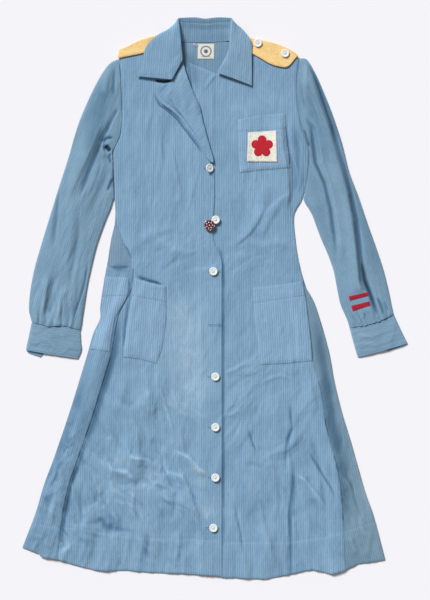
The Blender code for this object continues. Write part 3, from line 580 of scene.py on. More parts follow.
finishes = {
    "front": clothFinish("stripedCotton"),
    "inside": clothFinish("stripedCottonInside", (0.98, 0.96, 0.94), 0.88, 0.35),
    # the next copies of the cotton are dimmed as painted shade, for pieces that lie lower, at the sides or in folds
    "lower": clothFinish("stripedCottonLowerShaded", (0.96, 0.95, 0.91), 0.78, 0.35),
    "sleeve": clothFinish("stripedCottonSleeveShaded", (0.97, 0.97, 0.94), 0.93, 0.24),
    "gore": clothFinish("stripedCottonGoreShaded", (0.98, 0.95, 0.90), 0.85, 0.3),
    "fold": clothFinish("stripedCottonFoldShaded", (0.97, 0.98, 0.99), 0.9, 0.35),
    "pocket": clothFinish("stripedCottonPocket", (1.05, 1.0, 1.0), 1.07),
    "gold": plainCloth("goldTwill", (0.92, 0.66, 0.30), (0.78, 0.49, 0.18)),
    "white": plainCloth("whiteLinen", (0.86, 0.84, 0.76), (0.70, 0.66, 0.56)),
    "felt": feltFinish("redFelt", (0.55, 0.006, 0.022), (0.38, 0.005, 0.014)),
    "braid": plainCloth("redBraid", (0.50, 0.012, 0.035), (0.30, 0.008, 0.02), 0.9, 0.85, 0.0002, 0.2),
    "button": plasticFinish("buttonWhite", (0.80, 0.83, 0.81), (0.70, 0.73, 0.71), 0.3),
    "paleThread": smallFinish("thread", "paleThread", (0.42, 0.55, 0.66), (0.30, 0.43, 0.55)),
    "blueThread": smallFinish("thread", "blueThread", (0.13, 0.27, 0.42), (0.08, 0.19, 0.32)),
    "whiteThread": smallFinish("thread", "whiteThread", (0.80, 0.78, 0.72), (0.60, 0.58, 0.52)),
    "redThread": smallFinish("thread", "redThread", (0.50, 0.01, 0.03), (0.30, 0.01, 0.02)),
    "goldThread": smallFinish("thread", "goldThread", (0.74, 0.48, 0.18), (0.58, 0.34, 0.10)),
    "brass": smallFinish("metal", "badgeBrass", (0.26, 0.16, 0.11), (0.08, 0.05, 0.05)),
    "enamel": smallFinish("enamel", "badgeEnamel", (0.15, 0.012, 0.035), (0.06, 0.008, 0.03)),
    "whiteEnamel": smallFinish("enamel", "badgeWhite", (0.82, 0.80, 0.74), (0.66, 0.62, 0.55)),
}
print("finishes made")


# The body's outline, the air under its fronts and its creases


bodySide = {
    "right": [
        (117, 238), (190, 243), (274, 240), (304, 227), (400, 229), (443, 230), (534, 213), (591, 203),
        (638, 200), (666, 187), (704, 176), (822, 140), (970, 88), (1095, 45),
    ],
    "left": [
        (117, 597), (175, 592), (240, 599), (308, 617), (354, 614), (398, 604), (431, 588), (478, 590),
        (516, 596), (567, 607), (640, 640), (705, 658), (822, 683), (934, 716), (1032, 747), (1119, 770),
    ],
}
hemLine = [
    (45, 1095), (77, 1106), (82, 1113), (116, 1118), (157, 1131), (189, 1139), (211, 1141), (253, 1139),
    (298, 1144), (368, 1146), (438, 1151), (448, 1154), (532, 1157), (582, 1147), (624, 1138),
    (662, 1147), (686, 1141), (716, 1127), (770, 1119),
]
# path over the table, half width, height, lean
bodyFolds = [
    ([(336, 300), (346, 470)], 12, 1.2, 0),
    ([(250, 210), (262, 420)], 10, 1.0, 0),
    ([(262, 470), (300, 590)], 12, 1.3, 0),
    ([(350, 560), (400, 700)], 14, 1.1, 0),
    ([(300, 740), (262, 980)], 20, 1.6, 0),
    ([(360, 800), (400, 960)], 18, 1.3, 0),
    ([(180, 1010), (168, 1120)], 12, 1.5, 0),
    ([(350, 1060), (362, 1140)], 14, 1.2, 0),
    ([(540, 360), (500, 470)], 14, 1.4, 0),
    ([(574, 240), (588, 420)], 9, 1.5, 0),
    ([(470, 500), (486, 560)], 14, 1.1, 0),
    ([(588, 600), (582, 1120)], 9, 1.2, 0),
    ([(490, 760), (500, 980)], 18, 1.4, 0),
    ([(532, 1040), (534, 1150)], 16, 1.8, 0),
    ([(660, 1060), (664, 1140)], 14, 1.8, 0),
]
bodyCreases = [
    ([(246, 130), (248, 240), (240, 290)], 5, 0.9, 0.3),
    ([(324, 240), (323, 290), (326, 345)], 4, 0.8, 0.4),
    ([(344, 300), (352, 332), (358, 368), (364, 402)], 4.5, 1.1, 0.5),
    ([(300, 470), (340, 500), (396, 508)], 8, 0.9, 0.2),
    ([(262, 500), (300, 470), (360, 452)], 9, 0.9, -0.2),
    ([(572, 240), (576, 293), (586, 334), (589, 370), (587, 396), (584, 434)], 4, -2.6, 0),
    ([(560, 236), (564, 293), (574, 340), (577, 390), (570, 430)], 10, 2.4, 0.7),
    ([(600, 262), (604, 300), (600, 356), (596, 396)], 6, 1.2, -0.3),
    ([(511, 340), (511, 364)], 3.5, 0.8, 0.3),
    ([(529, 413), (515, 444), (501, 464), (466, 495)], 7, 1.8, 0.6),
    ([(560, 408), (540, 436), (520, 480)], 8, 1.2, 0.4),
    ([(584, 384), (556, 404), (530, 430)], 7, 1.2, -0.4),
    ([(590, 500), (560, 486), (520, 492)], 8, 0.9, 0.3),
    ([(260, 552), (263, 590), (257, 622), (250, 657), (249, 704)], 3.2, -1.3, 0),
    ([(588, 596), (590, 680), (589, 770)], 2.6, -0.9, 0),
    ([(578, 806), (584, 856), (572, 888), (569, 952)], 3.6, -1.3, -0.3),
    ([(588, 948), (582, 992), (578, 1032), (580, 1080), (582, 1146)], 3.6, -1.6, -0.3),
    ([(496, 856), (506, 888), (514, 908)], 3.4, -1.2, 0),
    ([(490, 932), (506, 928), (530, 936)], 5, -0.9, 0),
    ([(588, 944), (610, 960), (638, 996), (654, 1020)], 5, 1.5, 0.5),
    ([(618, 904), (642, 944), (662, 976), (670, 1000)], 4, -1.2, 0),
    ([(528, 1024), (534, 1072)], 3.4, -0.9, 0),
    ([(449, 746), (472, 736), (495, 722)], 4.5, 1.1, 0.5),
    ([(446, 830), (466, 826), (482, 817)], 4.0, 1.0, 0.5),
    ([(514, 770), (540, 756), (560, 750), (588, 759)], 3.5, 0.8, 0.4),
    ([(612, 724), (622, 770), (634, 830)], 5.5, 1.2, 0.4),
    ([(530, 880), (548, 950), (552, 1010), (546, 1060)], 6, 0.9, 0.3),
    ([(468, 1000), (474, 1036), (482, 1072), (486, 1112)], 3.8, -1.4, 0),
    ([(516, 1000), (536, 1070), (552, 1150)], 7, 1.5, 0.5),
    ([(606, 850), (630, 930), (644, 1010), (648, 1060)], 7, 0.9, 0.4),
    ([(598, 960), (612, 1030), (616, 1100)], 6, 0.8, -0.3),
    ([(640, 820), (664, 900), (676, 970)], 6, 0.8, 0.4),
    ([(309, 178), (311, 196), (319, 211), (337, 224), (354, 239), (369, 259), (382, 276), (395, 293),
                   (408, 316)], 2.6, -0.8, 0),
    ([(310, 162), (328, 164), (345, 161)], 3.0, -2.2, 0),
    ([(272, 552), (292, 559), (312, 565), (328, 571)], 3.4, -1.7, 0),
    ([(426, 158), (425, 220), (424, 300)], 4.5, 0.8, 0.3),
    ([(433, 147), (420, 164), (407, 182)], 3.6, 0.9, 0.3),
    ([(698, 948), (710, 1000), (726, 1048)], 4, -1.3, 0),
    ([(740, 1060), (738, 1090), (732, 1118)], 5, 1.1, 0.3),
    ([(700, 1070), (712, 1110)], 5, 1.2, 0.3),
    ([(290, 730), (297, 780), (296, 846)], 4.5, 1.0, 0.4),
    ([(312, 742), (316, 800)], 5.0, 0.9, -0.3),
    ([(316, 760), (334, 820), (354, 880)], 3.6, 0.9, 0.4),
    ([(344, 900), (380, 916), (400, 940), (418, 952)], 9, 2.6, 0.6),
    ([(316, 952), (338, 946), (364, 952), (376, 976), (392, 1024), (400, 1060)], 10, 2.9, 0.6),
    ([(252, 888), (258, 910), (272, 916), (296, 920), (316, 936)], 9, 2.8, 0.6),
    ([(216, 906), (212, 924), (228, 940), (256, 944), (270, 960), (268, 984)], 9, 2.6, 0.6),
    ([(166, 960), (160, 1000), (164, 1050)], 6, -1.2, 0),
    ([(270, 976), (266, 1016), (272, 1040)], 5, 1.4, 0.4),
    ([(352, 980), (344, 1044)], 5, -1.1, 0),
    ([(310, 948), (326, 990)], 6, -1.2, 0),
    ([(194, 1056), (184, 1130)], 7, -1.1, 0),
    ([(298, 1066), (286, 1140)], 7, -1.1, 0),
    ([(356, 1060), (360, 1088), (352, 1124)], 5, 1.6, 0.4),
    ([(382, 1066), (376, 1100), (384, 1150)], 7, -1.1, 0),
    ([(180, 1048), (204, 1040), (216, 1056), (240, 1060), (278, 1066)], 7, -1.1, 0.3),
    ([(110, 930), (124, 950), (132, 985)], 5.0, 0.6, 0.3),
    ([(86, 1010), (104, 1022), (108, 1050)], 5.0, 0.8, 0.3),
    ([(62, 1066), (84, 1074), (100, 1096)], 4.5, 0.9, 0.3),
]
# middle, half sizes, angle, length, spacing, height, seed
bodyCrumples = [
    ((250, 1010), (170, 130), -38, 70, 42, 3.4, 114),
    ((300, 860), (120, 90), -14, 84, 48, 3.0, 120),
    ((320, 750), (110, 70), 5, 90, 46, 1.6, 130),
    ((570, 1020), (130, 120), -10, 110, 40, 1.7, 143),
    ((530, 820), (110, 120), 36, 84, 46, 2.2, 150),
    ((705, 980), (50, 170), -18, 80, 34, 1.8, 160),
    ((110, 960), (60, 170), 12, 58, 34, 2.6, 170),
    ((320, 340), (100, 190), 8, 110, 34, 1.1, 180),
    ((520, 340), (100, 200), -14, 90, 32, 1.4, 190),
    ((430, 520), (190, 60), 60, 60, 38, 1.1, 200),
    ((420, 640), (240, 70), 4, 80, 34, 1.0, 210),
]
# painted shade (-) and painted highlight (+) on the cloth, for shadows in folds, gaps and under edges and for lit
# places: path, half width, strength, lean
bodyPaintedShades = [
    ([(243, 622), (237, 664), (230, 706), (219, 746), (195, 828), (176, 890)], 7.5, -0.4, 0),
    ([(240, 622), (233, 664), (226, 706), (215, 746), (190, 828), (160, 918), (142, 968), (130, 1024),
                    (118, 1095)], 4.5, -0.5, 0),
    ([(168, 900), (142, 968), (130, 1024), (118, 1112)], 4.0, -0.42, 0),
    ([(196, 700), (150, 826), (118, 906), (90, 1000), (76, 1070)], 22.0, -0.24, 0),
    ([(256, 590), (251, 640), (248, 700)], 3.0, -0.3, 0),
    ([(272, 552), (286, 558), (298, 562), (312, 565), (326, 570)], 2.6, -0.75, 0),
    ([(250, 488), (258, 504), (264, 522)], 2.2, -0.4, 0),
    ([(216, 533), (236, 536), (258, 534)], 3.0, -0.35, 0),
    ([(243, 160), (244, 240), (244, 330)], 3.0, -0.14, 0),
    ([(432, 484), (441, 504), (446, 530), (448, 580)], 2.6, -0.35, 0),
    ([(452, 520), (456, 600), (456, 760)], 6.0, -0.12, 0),
    ([(309, 178), (312, 196), (320, 211), (338, 224), (355, 239), (370, 259), (383, 276), (396, 293),
                   (409, 316)], 2.2, -0.6, 0),
    ([(308, 161), (326, 163.5), (345, 162)], 2.6, -1.3, 0),
    ([(150, 980), (230, 1060)], 36, -0.13, 0),
    ([(330, 1000), (350, 1060)], 26, -0.1, 0),
    ([(350, 560), (376, 700), (390, 860)], 56, 0.3, 0),
    ([(226, 916), (262, 930)], 15, 0.26, 0),
    ([(274, 964), (316, 972)], 8, 0.18, 0),
    ([(400, 970), (412, 1040)], 17, 0.2, 0),
    ([(326, 804), (338, 840), (352, 880)], 2.4, 0.13, 0),
    ([(344, 898), (380, 914), (418, 950)], 4.0, 0.08, 0),
    ([(166, 960), (160, 1000), (164, 1050)], 3.0, -0.12, 0),
    ([(352, 980), (344, 1044)], 2.6, -0.12, 0),
    ([(194, 1056), (184, 1130)], 3.6, -0.1, 0),
    ([(298, 1066), (286, 1140)], 3.6, -0.1, 0),
    ([(180, 1046), (204, 1040), (216, 1054), (268, 1062)], 6.0, -0.1, 0),
    ([(578, 806), (584, 856), (572, 888), (569, 952)], 2.0, -0.22, 0),
    ([(588, 948), (582, 992), (578, 1032), (580, 1080), (582, 1146)], 2.2, -0.34, 0),
    ([(448, 830), (482, 816)], 2.0, -0.16, 0),
    ([(496, 856), (506, 888), (514, 908)], 2.2, -0.22, 0),
    ([(502, 930), (528, 936)], 2.4, -0.08, 0),
    ([(588, 944), (610, 960), (638, 996), (654, 1020)], 2.4, 0.16, 0),
    ([(618, 904), (642, 944), (662, 976), (670, 1000)], 2.4, -0.2, 0),
    ([(468, 1000), (474, 1036), (482, 1072), (486, 1112)], 2.2, -0.26, 0),
    ([(698, 948), (710, 1000), (726, 1048)], 2.6, -0.22, 0),
    ([(286, 934), (330, 956)], 16, 0.24, 0),
    ([(378, 930), (420, 970)], 18, 0.24, 0),
    ([(200, 960), (232, 990)], 15, 0.16, 0),
    ([(306, 880), (350, 912)], 15, -0.12, 0),
    ([(196, 1030), (250, 1070)], 18, -0.12, 0),
    ([(150, 890), (172, 870)], 13, 0.16, 0),
    ([(500, 660), (500, 760)], 44, 0.1, 0),
    ([(604, 860), (636, 980), (646, 1100)], 34, -0.13, 0),
    ([(622, 600), (640, 690), (652, 760), (662, 840), (682, 920), (690, 1000), (694, 1060)], 12, -0.42, 0),
    ([(650, 690), (676, 770), (700, 860), (722, 940), (738, 1010), (754, 1090)], 11, 0.3, 0),
    ([(588, 760), (578, 847), (576, 880), (585, 933), (588, 987), (583, 1040), (585, 1130)], 4, -0.3, 0),
    ([(588, 236), (594, 300), (598, 356), (592, 400)], 10, -0.3, 0),
    ([(243, 130), (246, 230)], 6, -0.14, 0),
    ([(376, 96), (390, 180)], 16, -0.26, 0),
    ([(447, 480), (447, 700), (447, 900), (447, 1140)], 2.4, -0.6, 0),
    ([(222, 534), (262, 540)], 12, -0.22, 0),
    ([(230, 450), (226, 500)], 18, 0.2, 0),
]
# painted facet shading, facets painted lighter and darker as if lit: where they begin and are full, their size
# across and down, strength and seed
facetShading = {
    "from": 640.0, "over": 260.0, "across": 46.0, "down": 62.0, "turn": 24.0, "strength": 0.16, "seed": 230,
}
hemRipples = {"reach": 110.0, "height": 2.4, "spacing": 28.0, "seed": 77}
pleatPuff = {
    "height": 3.1, "crest": 1.1, "round": 1.3, "from": 590.0, "over": 90.0,
    "ease": 0.62, "easeFrom": 780.0, "easeOver": 160.0,
}
bodyAir = {  # where the air under the fronts comes in, in mm from the neck down, and how it ends at the hem
    "neck": 70.0, "neckOver": 60.0, "armhole": 300.0, "armholeOver": 90.0, "hemReach": 80.0, "hemShare": 0.35,
    "rim": 14.0, "creases": 1.25, "least": 0.04,
}
laps = {  # where a front climbs over the piece below it, in mm down the table
    "side": 540.0, "sideOver": 22.0, "front": 130.0, "frontOver": 30.0,
    "sooner": 14.0, "soonerTo": 400.0, "soonerOver": 100.0, "soonerLift": 0.02,
}


# lighter and darker facets painted on the lower skirt, as light and shade
def paintedFacetShading(across, down):
    wornAndShaded = smooth((down - facetShading["from"]) / facetShading["over"])
    turned = turnedGrain(across, down, facetShading["turn"])
    u, v = turned[..., 0] / facetShading["across"], turned[..., 1] / facetShading["down"]
    large = facets(u, v, facetShading["seed"], 9.0)
    small = facets(u * 2.2, v * 1.8, facetShading["seed"] + 1, 10.0)
    return facetShading["strength"] * wornAndShaded * (large + 0.6 * small)


def hemRelief(across, down):
    edge = onLine(hemLine, across)
    grown = smooth(1.0 - (edge - down) / hemRipples["reach"])
    lean = across + (across - table["across"]) * 0.0012 * (edge - down)
    ripple = latticeNoise(lean / hemRipples["spacing"], down / 160.0, hemRipples["seed"])
    ripple = ripple + 0.4 * latticeNoise(lean / 10.0, down / 90.0, hemRipples["seed"] + 1)
    return hemRipples["height"] * grown * ripple


def bodyRelief(across, down):
    air = bodyAir
    fromSide = np.minimum(across - onLine(bodySide["right"], down), onLine(bodySide["left"], down) - across)
    inside = smooth(fromSide / cloth["sideFade"])
    armhole = 1.0 - smooth((down - air["armhole"]) / air["armholeOver"])
    inside = np.maximum(inside, cloth["armholeShare"] * armhole)
    neck = smooth((down - air["neck"]) / air["neckOver"])
    low = smooth((onLine(hemLine, across) - down) / air["hemReach"])
    share = air["hemShare"] + (1.0 - air["hemShare"]) * low
    lifted = (cloth["bodyAir"] + creaseField(bodyFolds, across, down)) * inside * neck * share
    rim = smooth((fromSide + 2.0) / air["rim"]) * neck
    detail = air["creases"] * creaseField(bodyCreases, across, down) + crumpled(across, down, bodyCrumples)
    detail = detail + waves(across, down, 3, 90.0, 0.35) + hemRelief(across, down)
    lifted = lifted + detail * np.maximum(rim, 0.35 * neck)
    return air["least"] + 0.5 * (lifted + np.sqrt(lifted * lifted + 0.12))  # never below the back


def climb(across, edge):
    ramp = cloth["lapRamp"]
    return smooth((across - (edge - ramp)) / (ramp - cloth["lapClear"]))


# points of each row, from the edge on the table's left to the other
goreLeft = {
    "rows": [
        ((588, 568), (597, 568), (607, 568)),
        ((592, 600), (609, 600), (626, 600)),
        ((598, 640), (619, 640), (640, 640)),
        ((604, 704), (631, 704), (658, 705)),
        ((616, 760), (642, 760), (668, 760)),
        ((629, 826), (656, 824), (683, 822)),
        ((646, 896), (675, 892), (703, 888)),
        ((656, 942), (686, 938), (716, 934)),
        ((662, 992), (697, 989), (731, 986)),
        ((665, 1044), (706, 1038), (747, 1032)),
        ((670, 1140), (722, 1126), (770, 1119)),
    ],
    "hem": 12,
    "grain": -12.0,
    "edges": {"right": "fold"},
}
frontLeft = {
    "rows": [
        ((379, 126), (406, 137), (434, 149), (455, 112), (475, 76), (536, 96), (597, 117)),
        ((386, 188), (451, 183), (520, 178), (592, 175)),
        ((392, 242), (461, 241), (530, 240), (599, 240)),
        ((398, 288), (504, 283), (610, 278)),
        ((400, 312), (508, 310), (617, 308)),
        ((404, 358), (509, 356), (614, 354)),
        ((405, 400), (504, 399), (604, 398)),
        ((406, 434), (497, 432), (588, 431)),
        ((407, 480), (499, 479), (590.5, 478)),
        ((408, 520), (502, 518), (596, 516)),
        ((408, 562), (507, 561), (606, 561)),
        ((408, 600), (510, 599), (612, 598)),
        ((408, 644), (513, 642), (618, 640)),
        ((408, 722), (517, 722), (626, 722)),
        ((407, 790), (525, 788), (643, 786)),
        ((407, 846), (529, 846), (651.5, 846)),
        ((406, 896), (535, 894), (663, 892)),
        ((406, 944), (541, 943), (676, 942)),
        ((406, 1000), (545, 1000), (684, 1000)),
        ((406, 1070), (547, 1070), (688, 1070)),
        ((406, 1152), (548, 1153), (690, 1140)),
    ],
    "hem": 12,
    "edges": {"right": "fold", "top": "sewn"},
    "gap": 0.4,
}
frontRight = {
    "rows": [
        ((238, 117), (290, 98), (342, 80)),
        ((241, 142), (297, 124), (354, 105)),
        ((242, 166), (305, 148), (364, 124)),
        ((243, 190), (315, 184), (385, 183)),
        ((243, 240), (325, 241), (405, 243)),
        ((240, 274), (328, 277), (415, 279)),
        ((227, 304), (326, 308), (425, 312)),
        ((229, 374), (329, 377), (429, 380)),
        ((232, 434), (330, 434), (427, 434)),
        ((246, 480), (336, 480), (427, 480)),
        ((263, 520), (353, 519), (443, 519)),
        ((256, 562), (350, 561), (444, 560)),
        ((224, 636), (334, 640), (444, 644)),
        ((206, 704), (325, 712), (444, 720)),
        ((168, 826), (306, 833), (444, 840)),
        ((120, 964), (282, 969), (444, 974)),
        ((98, 1114), (271, 1141), (444, 1153)),
    ],
    "hem": 12,
    "edges": {"left": "fold", "top": "sewn"},
    "gap": 0.3,
}
goreRight = {
    "rows": [
        ((213, 534), (240, 535), (268, 536)),
        ((203.5, 591), (233, 589), (262, 582)),
        ((200.5, 616), (226, 613), (248, 606)),
        ((200, 638), (219, 637), (237, 634)),
        ((187, 666), (209, 665), (231, 664)),
        ((176, 704), (200, 705), (224, 706)),
        ((164, 744), (188, 744), (213, 744)),
        ((140, 822), (164, 824), (188, 826)),
        ((108, 916), (132, 916), (157, 916)),
        ((88, 970), (114, 969), (139, 968)),
        ((72, 1024), (100, 1024), (127, 1024)),
        ((45, 1095), (80, 1110), (115, 1117)),
    ],
    "hem": 12,
    "grain": 14.0,
    "edges": {"left": "fold", "right": "fold"},
    "gap": cloth["layerGap"],
}
backBodice = {
    "rows": [
        ((239, 119), (340, 80.5), (362, 82.3), (411, 83.6), (456, 81.2), (476, 75), (596.6, 119)),
        ((242, 166), (592, 166)),
        ((244, 240), (597.5, 240)),
        ((241, 274), (607.5, 276)),
        ((228, 304), (615.5, 306)),
        ((229.5, 374), (610.5, 358)),
        ((230, 400), (602.5, 399)),
        ((230, 443), (587, 432)),
        ((222, 480), (589, 480)),
        ((214, 532), (598, 534)),
    ],
    "cell": cloth["backCell"],
}
backSkirt = {
    "rows": [
        ((214, 534), (599, 536)),
        ((205, 591), (621, 600)),
        ((202, 636), (636, 640)),
        ((190, 667), (645, 668)),
        ((179, 704), (655, 705)),
        ((143, 822), (679, 822)),
        ((92, 970), (723, 980)),
        ((50, 1090), (230, 1130), (411, 1147), (590, 1142), (765, 1112)),
    ],
    "cell": cloth["backCell"],
}
hemStitches = {  # the turned-up hem's upper edge, on each side of the placket and on the gores
    "front_right": [(124, 1054), (169, 1059), (244, 1072), (318, 1078), (438, 1080)],
    "front_left": [(448, 1086), (517, 1084), (582, 1084), (640, 1076), (682, 1064)],
    "gore_left": [(694, 1062), (736, 1048), (752, 1044)],
    "gore_right": [(60, 1046), (92, 1052), (118, 1054)],
    "rise": 0.35,
}


def goreLeftUnder(across, down):
    return base + bodyRelief(across, down)


def frontLeftUnder(across, down):
    lap = climb(across, edgeAcross(goreLeft["rows"], 0, down)) * smooth((down - laps["side"]) / laps["sideOver"])
    return base + bodyRelief(across, down) + layer * lap


def frontRightUnder(across, down):
    sooner = laps["sooner"] * (1.0 - smooth((down - laps["soonerTo"]) / laps["soonerOver"]))
    lap = climb(across, edgeAcross(frontLeft["rows"], 0, down) - sooner)
    lap = lap * smooth((down - laps["front"]) / laps["frontOver"])
    return base + bodyRelief(across, down) + (layer + laps["soonerLift"] * sooner) * lap


def goreRightUnder(across, down):
    lap = climb(across, edgeAcross(frontRight["rows"][9:], 0, down))
    left, right = edgeAcross(goreRight["rows"], 0, down), edgeAcross(goreRight["rows"], -1, down)
    share = np.clip((across - left) / (right - left), 0.0, 1.0) ** pleatPuff["crest"]
    puff = pleatPuff["height"] * np.sin(math.pi * share) ** pleatPuff["round"]
    puff = puff * smooth((down - pleatPuff["from"]) / pleatPuff["over"])
    puff = puff * (1.0 - pleatPuff["ease"] * smooth((down - pleatPuff["easeFrom"]) / pleatPuff["easeOver"]))
    return base + bodyRelief(across, down) + layer * lap + puff


def over(under, layers=1, slack=0.0):
    return lambda across, down: under(across, down) + layer * layers + slack


def seamStep(rise, past):
    # cloth that is doubled from its stitches on, which lie in a groove
    return rise * smooth(past / 3.0 + 0.5) - 0.25 * np.exp(-((past + 1.0) ** 2) / 3.0)


def hemStep(name):
    return lambda across, down: seamStep(hemStitches["rise"], down - onLine(hemStitches[name], across))


def makeBody():
    flat = lambda across, down: np.zeros(np.shape(across))
    panel("back_bodice", backBodice, flat, finishes["inside"])
    panel("back_skirt", backSkirt, flat, finishes["lower"])
    pieces = [
        ("gore_left", goreLeft, goreLeftUnder, "gore", ["back_skirt"]),
        ("front_left", frontLeft, frontLeftUnder, "front", ["back_bodice", "back_skirt", "gore_left"]),
        ("front_right", frontRight, frontRightUnder, "front", ["back_bodice", "back_skirt", "front_left"]),
        ("gore_right", goreRight, goreRightUnder, "fold", ["back_skirt", "front_right"]),
    ]
    for name, cut, under, finish, restsOn in pieces:
        cut["thicker"] = hemStep(name)
        panel(name, cut, under, finishes[finish])


# Lapel and pockets


lapel = {
    "rows": [
        ((314, 177), (344, 162), (366, 124)),
        ((311.5, 184), (345, 171), (373.5, 150)),
        ((315, 195), (382, 173)),
        ((323.5, 208), (391, 194)),
        ((341.5, 221), (399.5, 213)),
        ((358, 236), (404.5, 236)),
        ((373, 256), (409.5, 256)),
        ((386, 273), (414.5, 274)),
        ((399.5, 291), (420, 294)),
        ((412, 314), (426, 315)),
        ((420, 324), (427, 326)),
    ],
    "cell": 2.2,
    "grain": 38.0,
    "lift": 2.4,
    "liftWidth": 26.0,
}
# painted highlight along the lapel's rim, painted shade along its stitch groove and beside its roll: path, half
# width, strength, lean
lapelPaintedShades = [
    ([(314, 179), (314, 190), (324, 206), (342, 219), (359, 235), (374, 255), (388, 273), (402, 292)],
     2.0, 0.14, 0),
    ([(316, 176), (330, 169), (344, 162)], 2.2, 0.2, 0),
    ([(320, 180), (321, 190), (331, 203), (348, 216), (364, 232), (379, 253), (392, 271), (405, 291)],
     1.2, -0.32, 0),
    ([(333, 191), (348, 212), (366, 236)], 2.4, -0.18, 0),
    ([(372, 140), (392, 195), (410, 255), (424, 312)], 5.0, -0.22, 0),
    ([(352, 180), (384, 240)], 26.0, -0.1, 0),
]
pocketChest = {
    "rows": [
        ((476, 240), (514, 232), (569.5, 227)),
        ((477, 262), (572, 257)),
        ((478, 304), (577.5, 303)),
        ((479.5, 346), (528, 340), (579.5, 336)),
    ],
    "cell": 2.4,
    "grain": -2.0,
}
pocketRight = {
    "rows": [
        ((269, 557), (300, 566), (332, 573)),
        ((265, 590), (332, 602)),
        ((256, 640), (332, 642)),
        ((249, 686), (325, 692)),
        ((247, 714), (282, 718), (313, 727)),
    ],
    "cell": 2.4,
    "grain": 3.0,
}
pocketRightSide = {
    "rows": [
        ((209.5, 553), (258, 555)),
        ((204.5, 590), (255, 590)),
        ((201.5, 636), (232, 634)),
        ((190, 668), (225, 667)),
        ((181, 698), (220, 703)),
    ],
    "cell": 2.4,
    "grain": 8.0,
}
pocketLeft = {
    "rows": [
        ((506, 575), (556, 570), (604, 563)),
        ((506, 604), (610, 594)),
        ((511, 650), (616.5, 644)),
        ((516, 694), (622, 690)),
        ((520, 729), (572, 727), (624, 721)),
    ],
    "cell": 2.4,
    "grain": -3.0,
}
pocketHems = {  # down of the hem's stitches at the pocket's first and last edge, and the hem's rise
    "pocket_chest": (262, 257),
    "pocket_hip_right": (590, 603),
    "pocket_hip_right_side": (591, 590),
    "pocket_hip_left": (605, 589),
    "rise": 0.3,
}


pocketPieces = [  # with the surface below it, how many times the slack it floats, and what carries it
    ("pocket_chest", pocketChest, frontLeftUnder, 2, "front_left"),
    ("pocket_hip_right", pocketRight, frontRightUnder, 1, "front_right"),
    ("pocket_hip_right_side", pocketRightSide, goreRightUnder, 1, "gore_right"),
    ("pocket_hip_left", pocketLeft, frontLeftUnder, 1, "front_left"),
]


def pocketHem(name, cut):
    mouth = cut["rows"][1]
    line = [(mouth[0][0], pocketHems[name][0]), (mouth[-1][0], pocketHems[name][1])]
    return lambda across, down: seamStep(pocketHems["rise"], onLine(line, across) - down)


def lapelUnder(across, down):
    outer = edgeAcross(lapel["rows"][1:], 0, down)
    lift = lapel["lift"] * smooth((outer + lapel["liftWidth"] - across) / lapel["liftWidth"])
    return frontRightUnder(across, down) + layer + cloth["slack"] + lift


def makePockets():
    for name, cut, under, floats, carrier in pocketPieces:
        slack = floats * cloth["slack"]
        cut["thicker"] = pocketHem(name, cut)
        cut["wall"] = cloth["trimWall"]
        cut["gap"] = cloth["layerGap"] + slack
        cut["edges"] = {"left": "sewn", "right": "sewn", "bottom": "sewn"}
        cut["paintedShades"] = []
        panel(name, cut, over(under, 1, slack), finishes["pocket"])
    lapel["paintedShades"] = lapelPaintedShades
    panel("lapel_right", lapel, lapelUnder, finishes["front"])


def roundOf(cut, out):
    # a closed line some millimetres outside a pocket
    rows = cut["rows"]
    line = [r[0] for r in rows] + list(rows[-1][1:]) + [r[-1] for r in rows[-2::-1]] + list(rows[0][-2::-1])
    middle = np.mean(np.array(line, float), axis=0)
    off = np.array(line, float) - middle
    return [tuple(middle + v + out * v / np.linalg.norm(v)) for v in off]


# pressed troughs and a line of painted shade round each pocket
for pocketCut in (pocketChest, pocketRight, pocketLeft):
    bodyCreases.append((roundOf(pocketCut, 2.4), 2.2, -0.2, 0))
    bodyPaintedShades.append((roundOf(pocketCut, 1.6), 2.0, -0.08, 0))
makeBody()
print("body made")
makePockets()
print("pockets and lapel made")


# Sleeves and cuffs: each row runs over the top from the outer fold to the inner fold


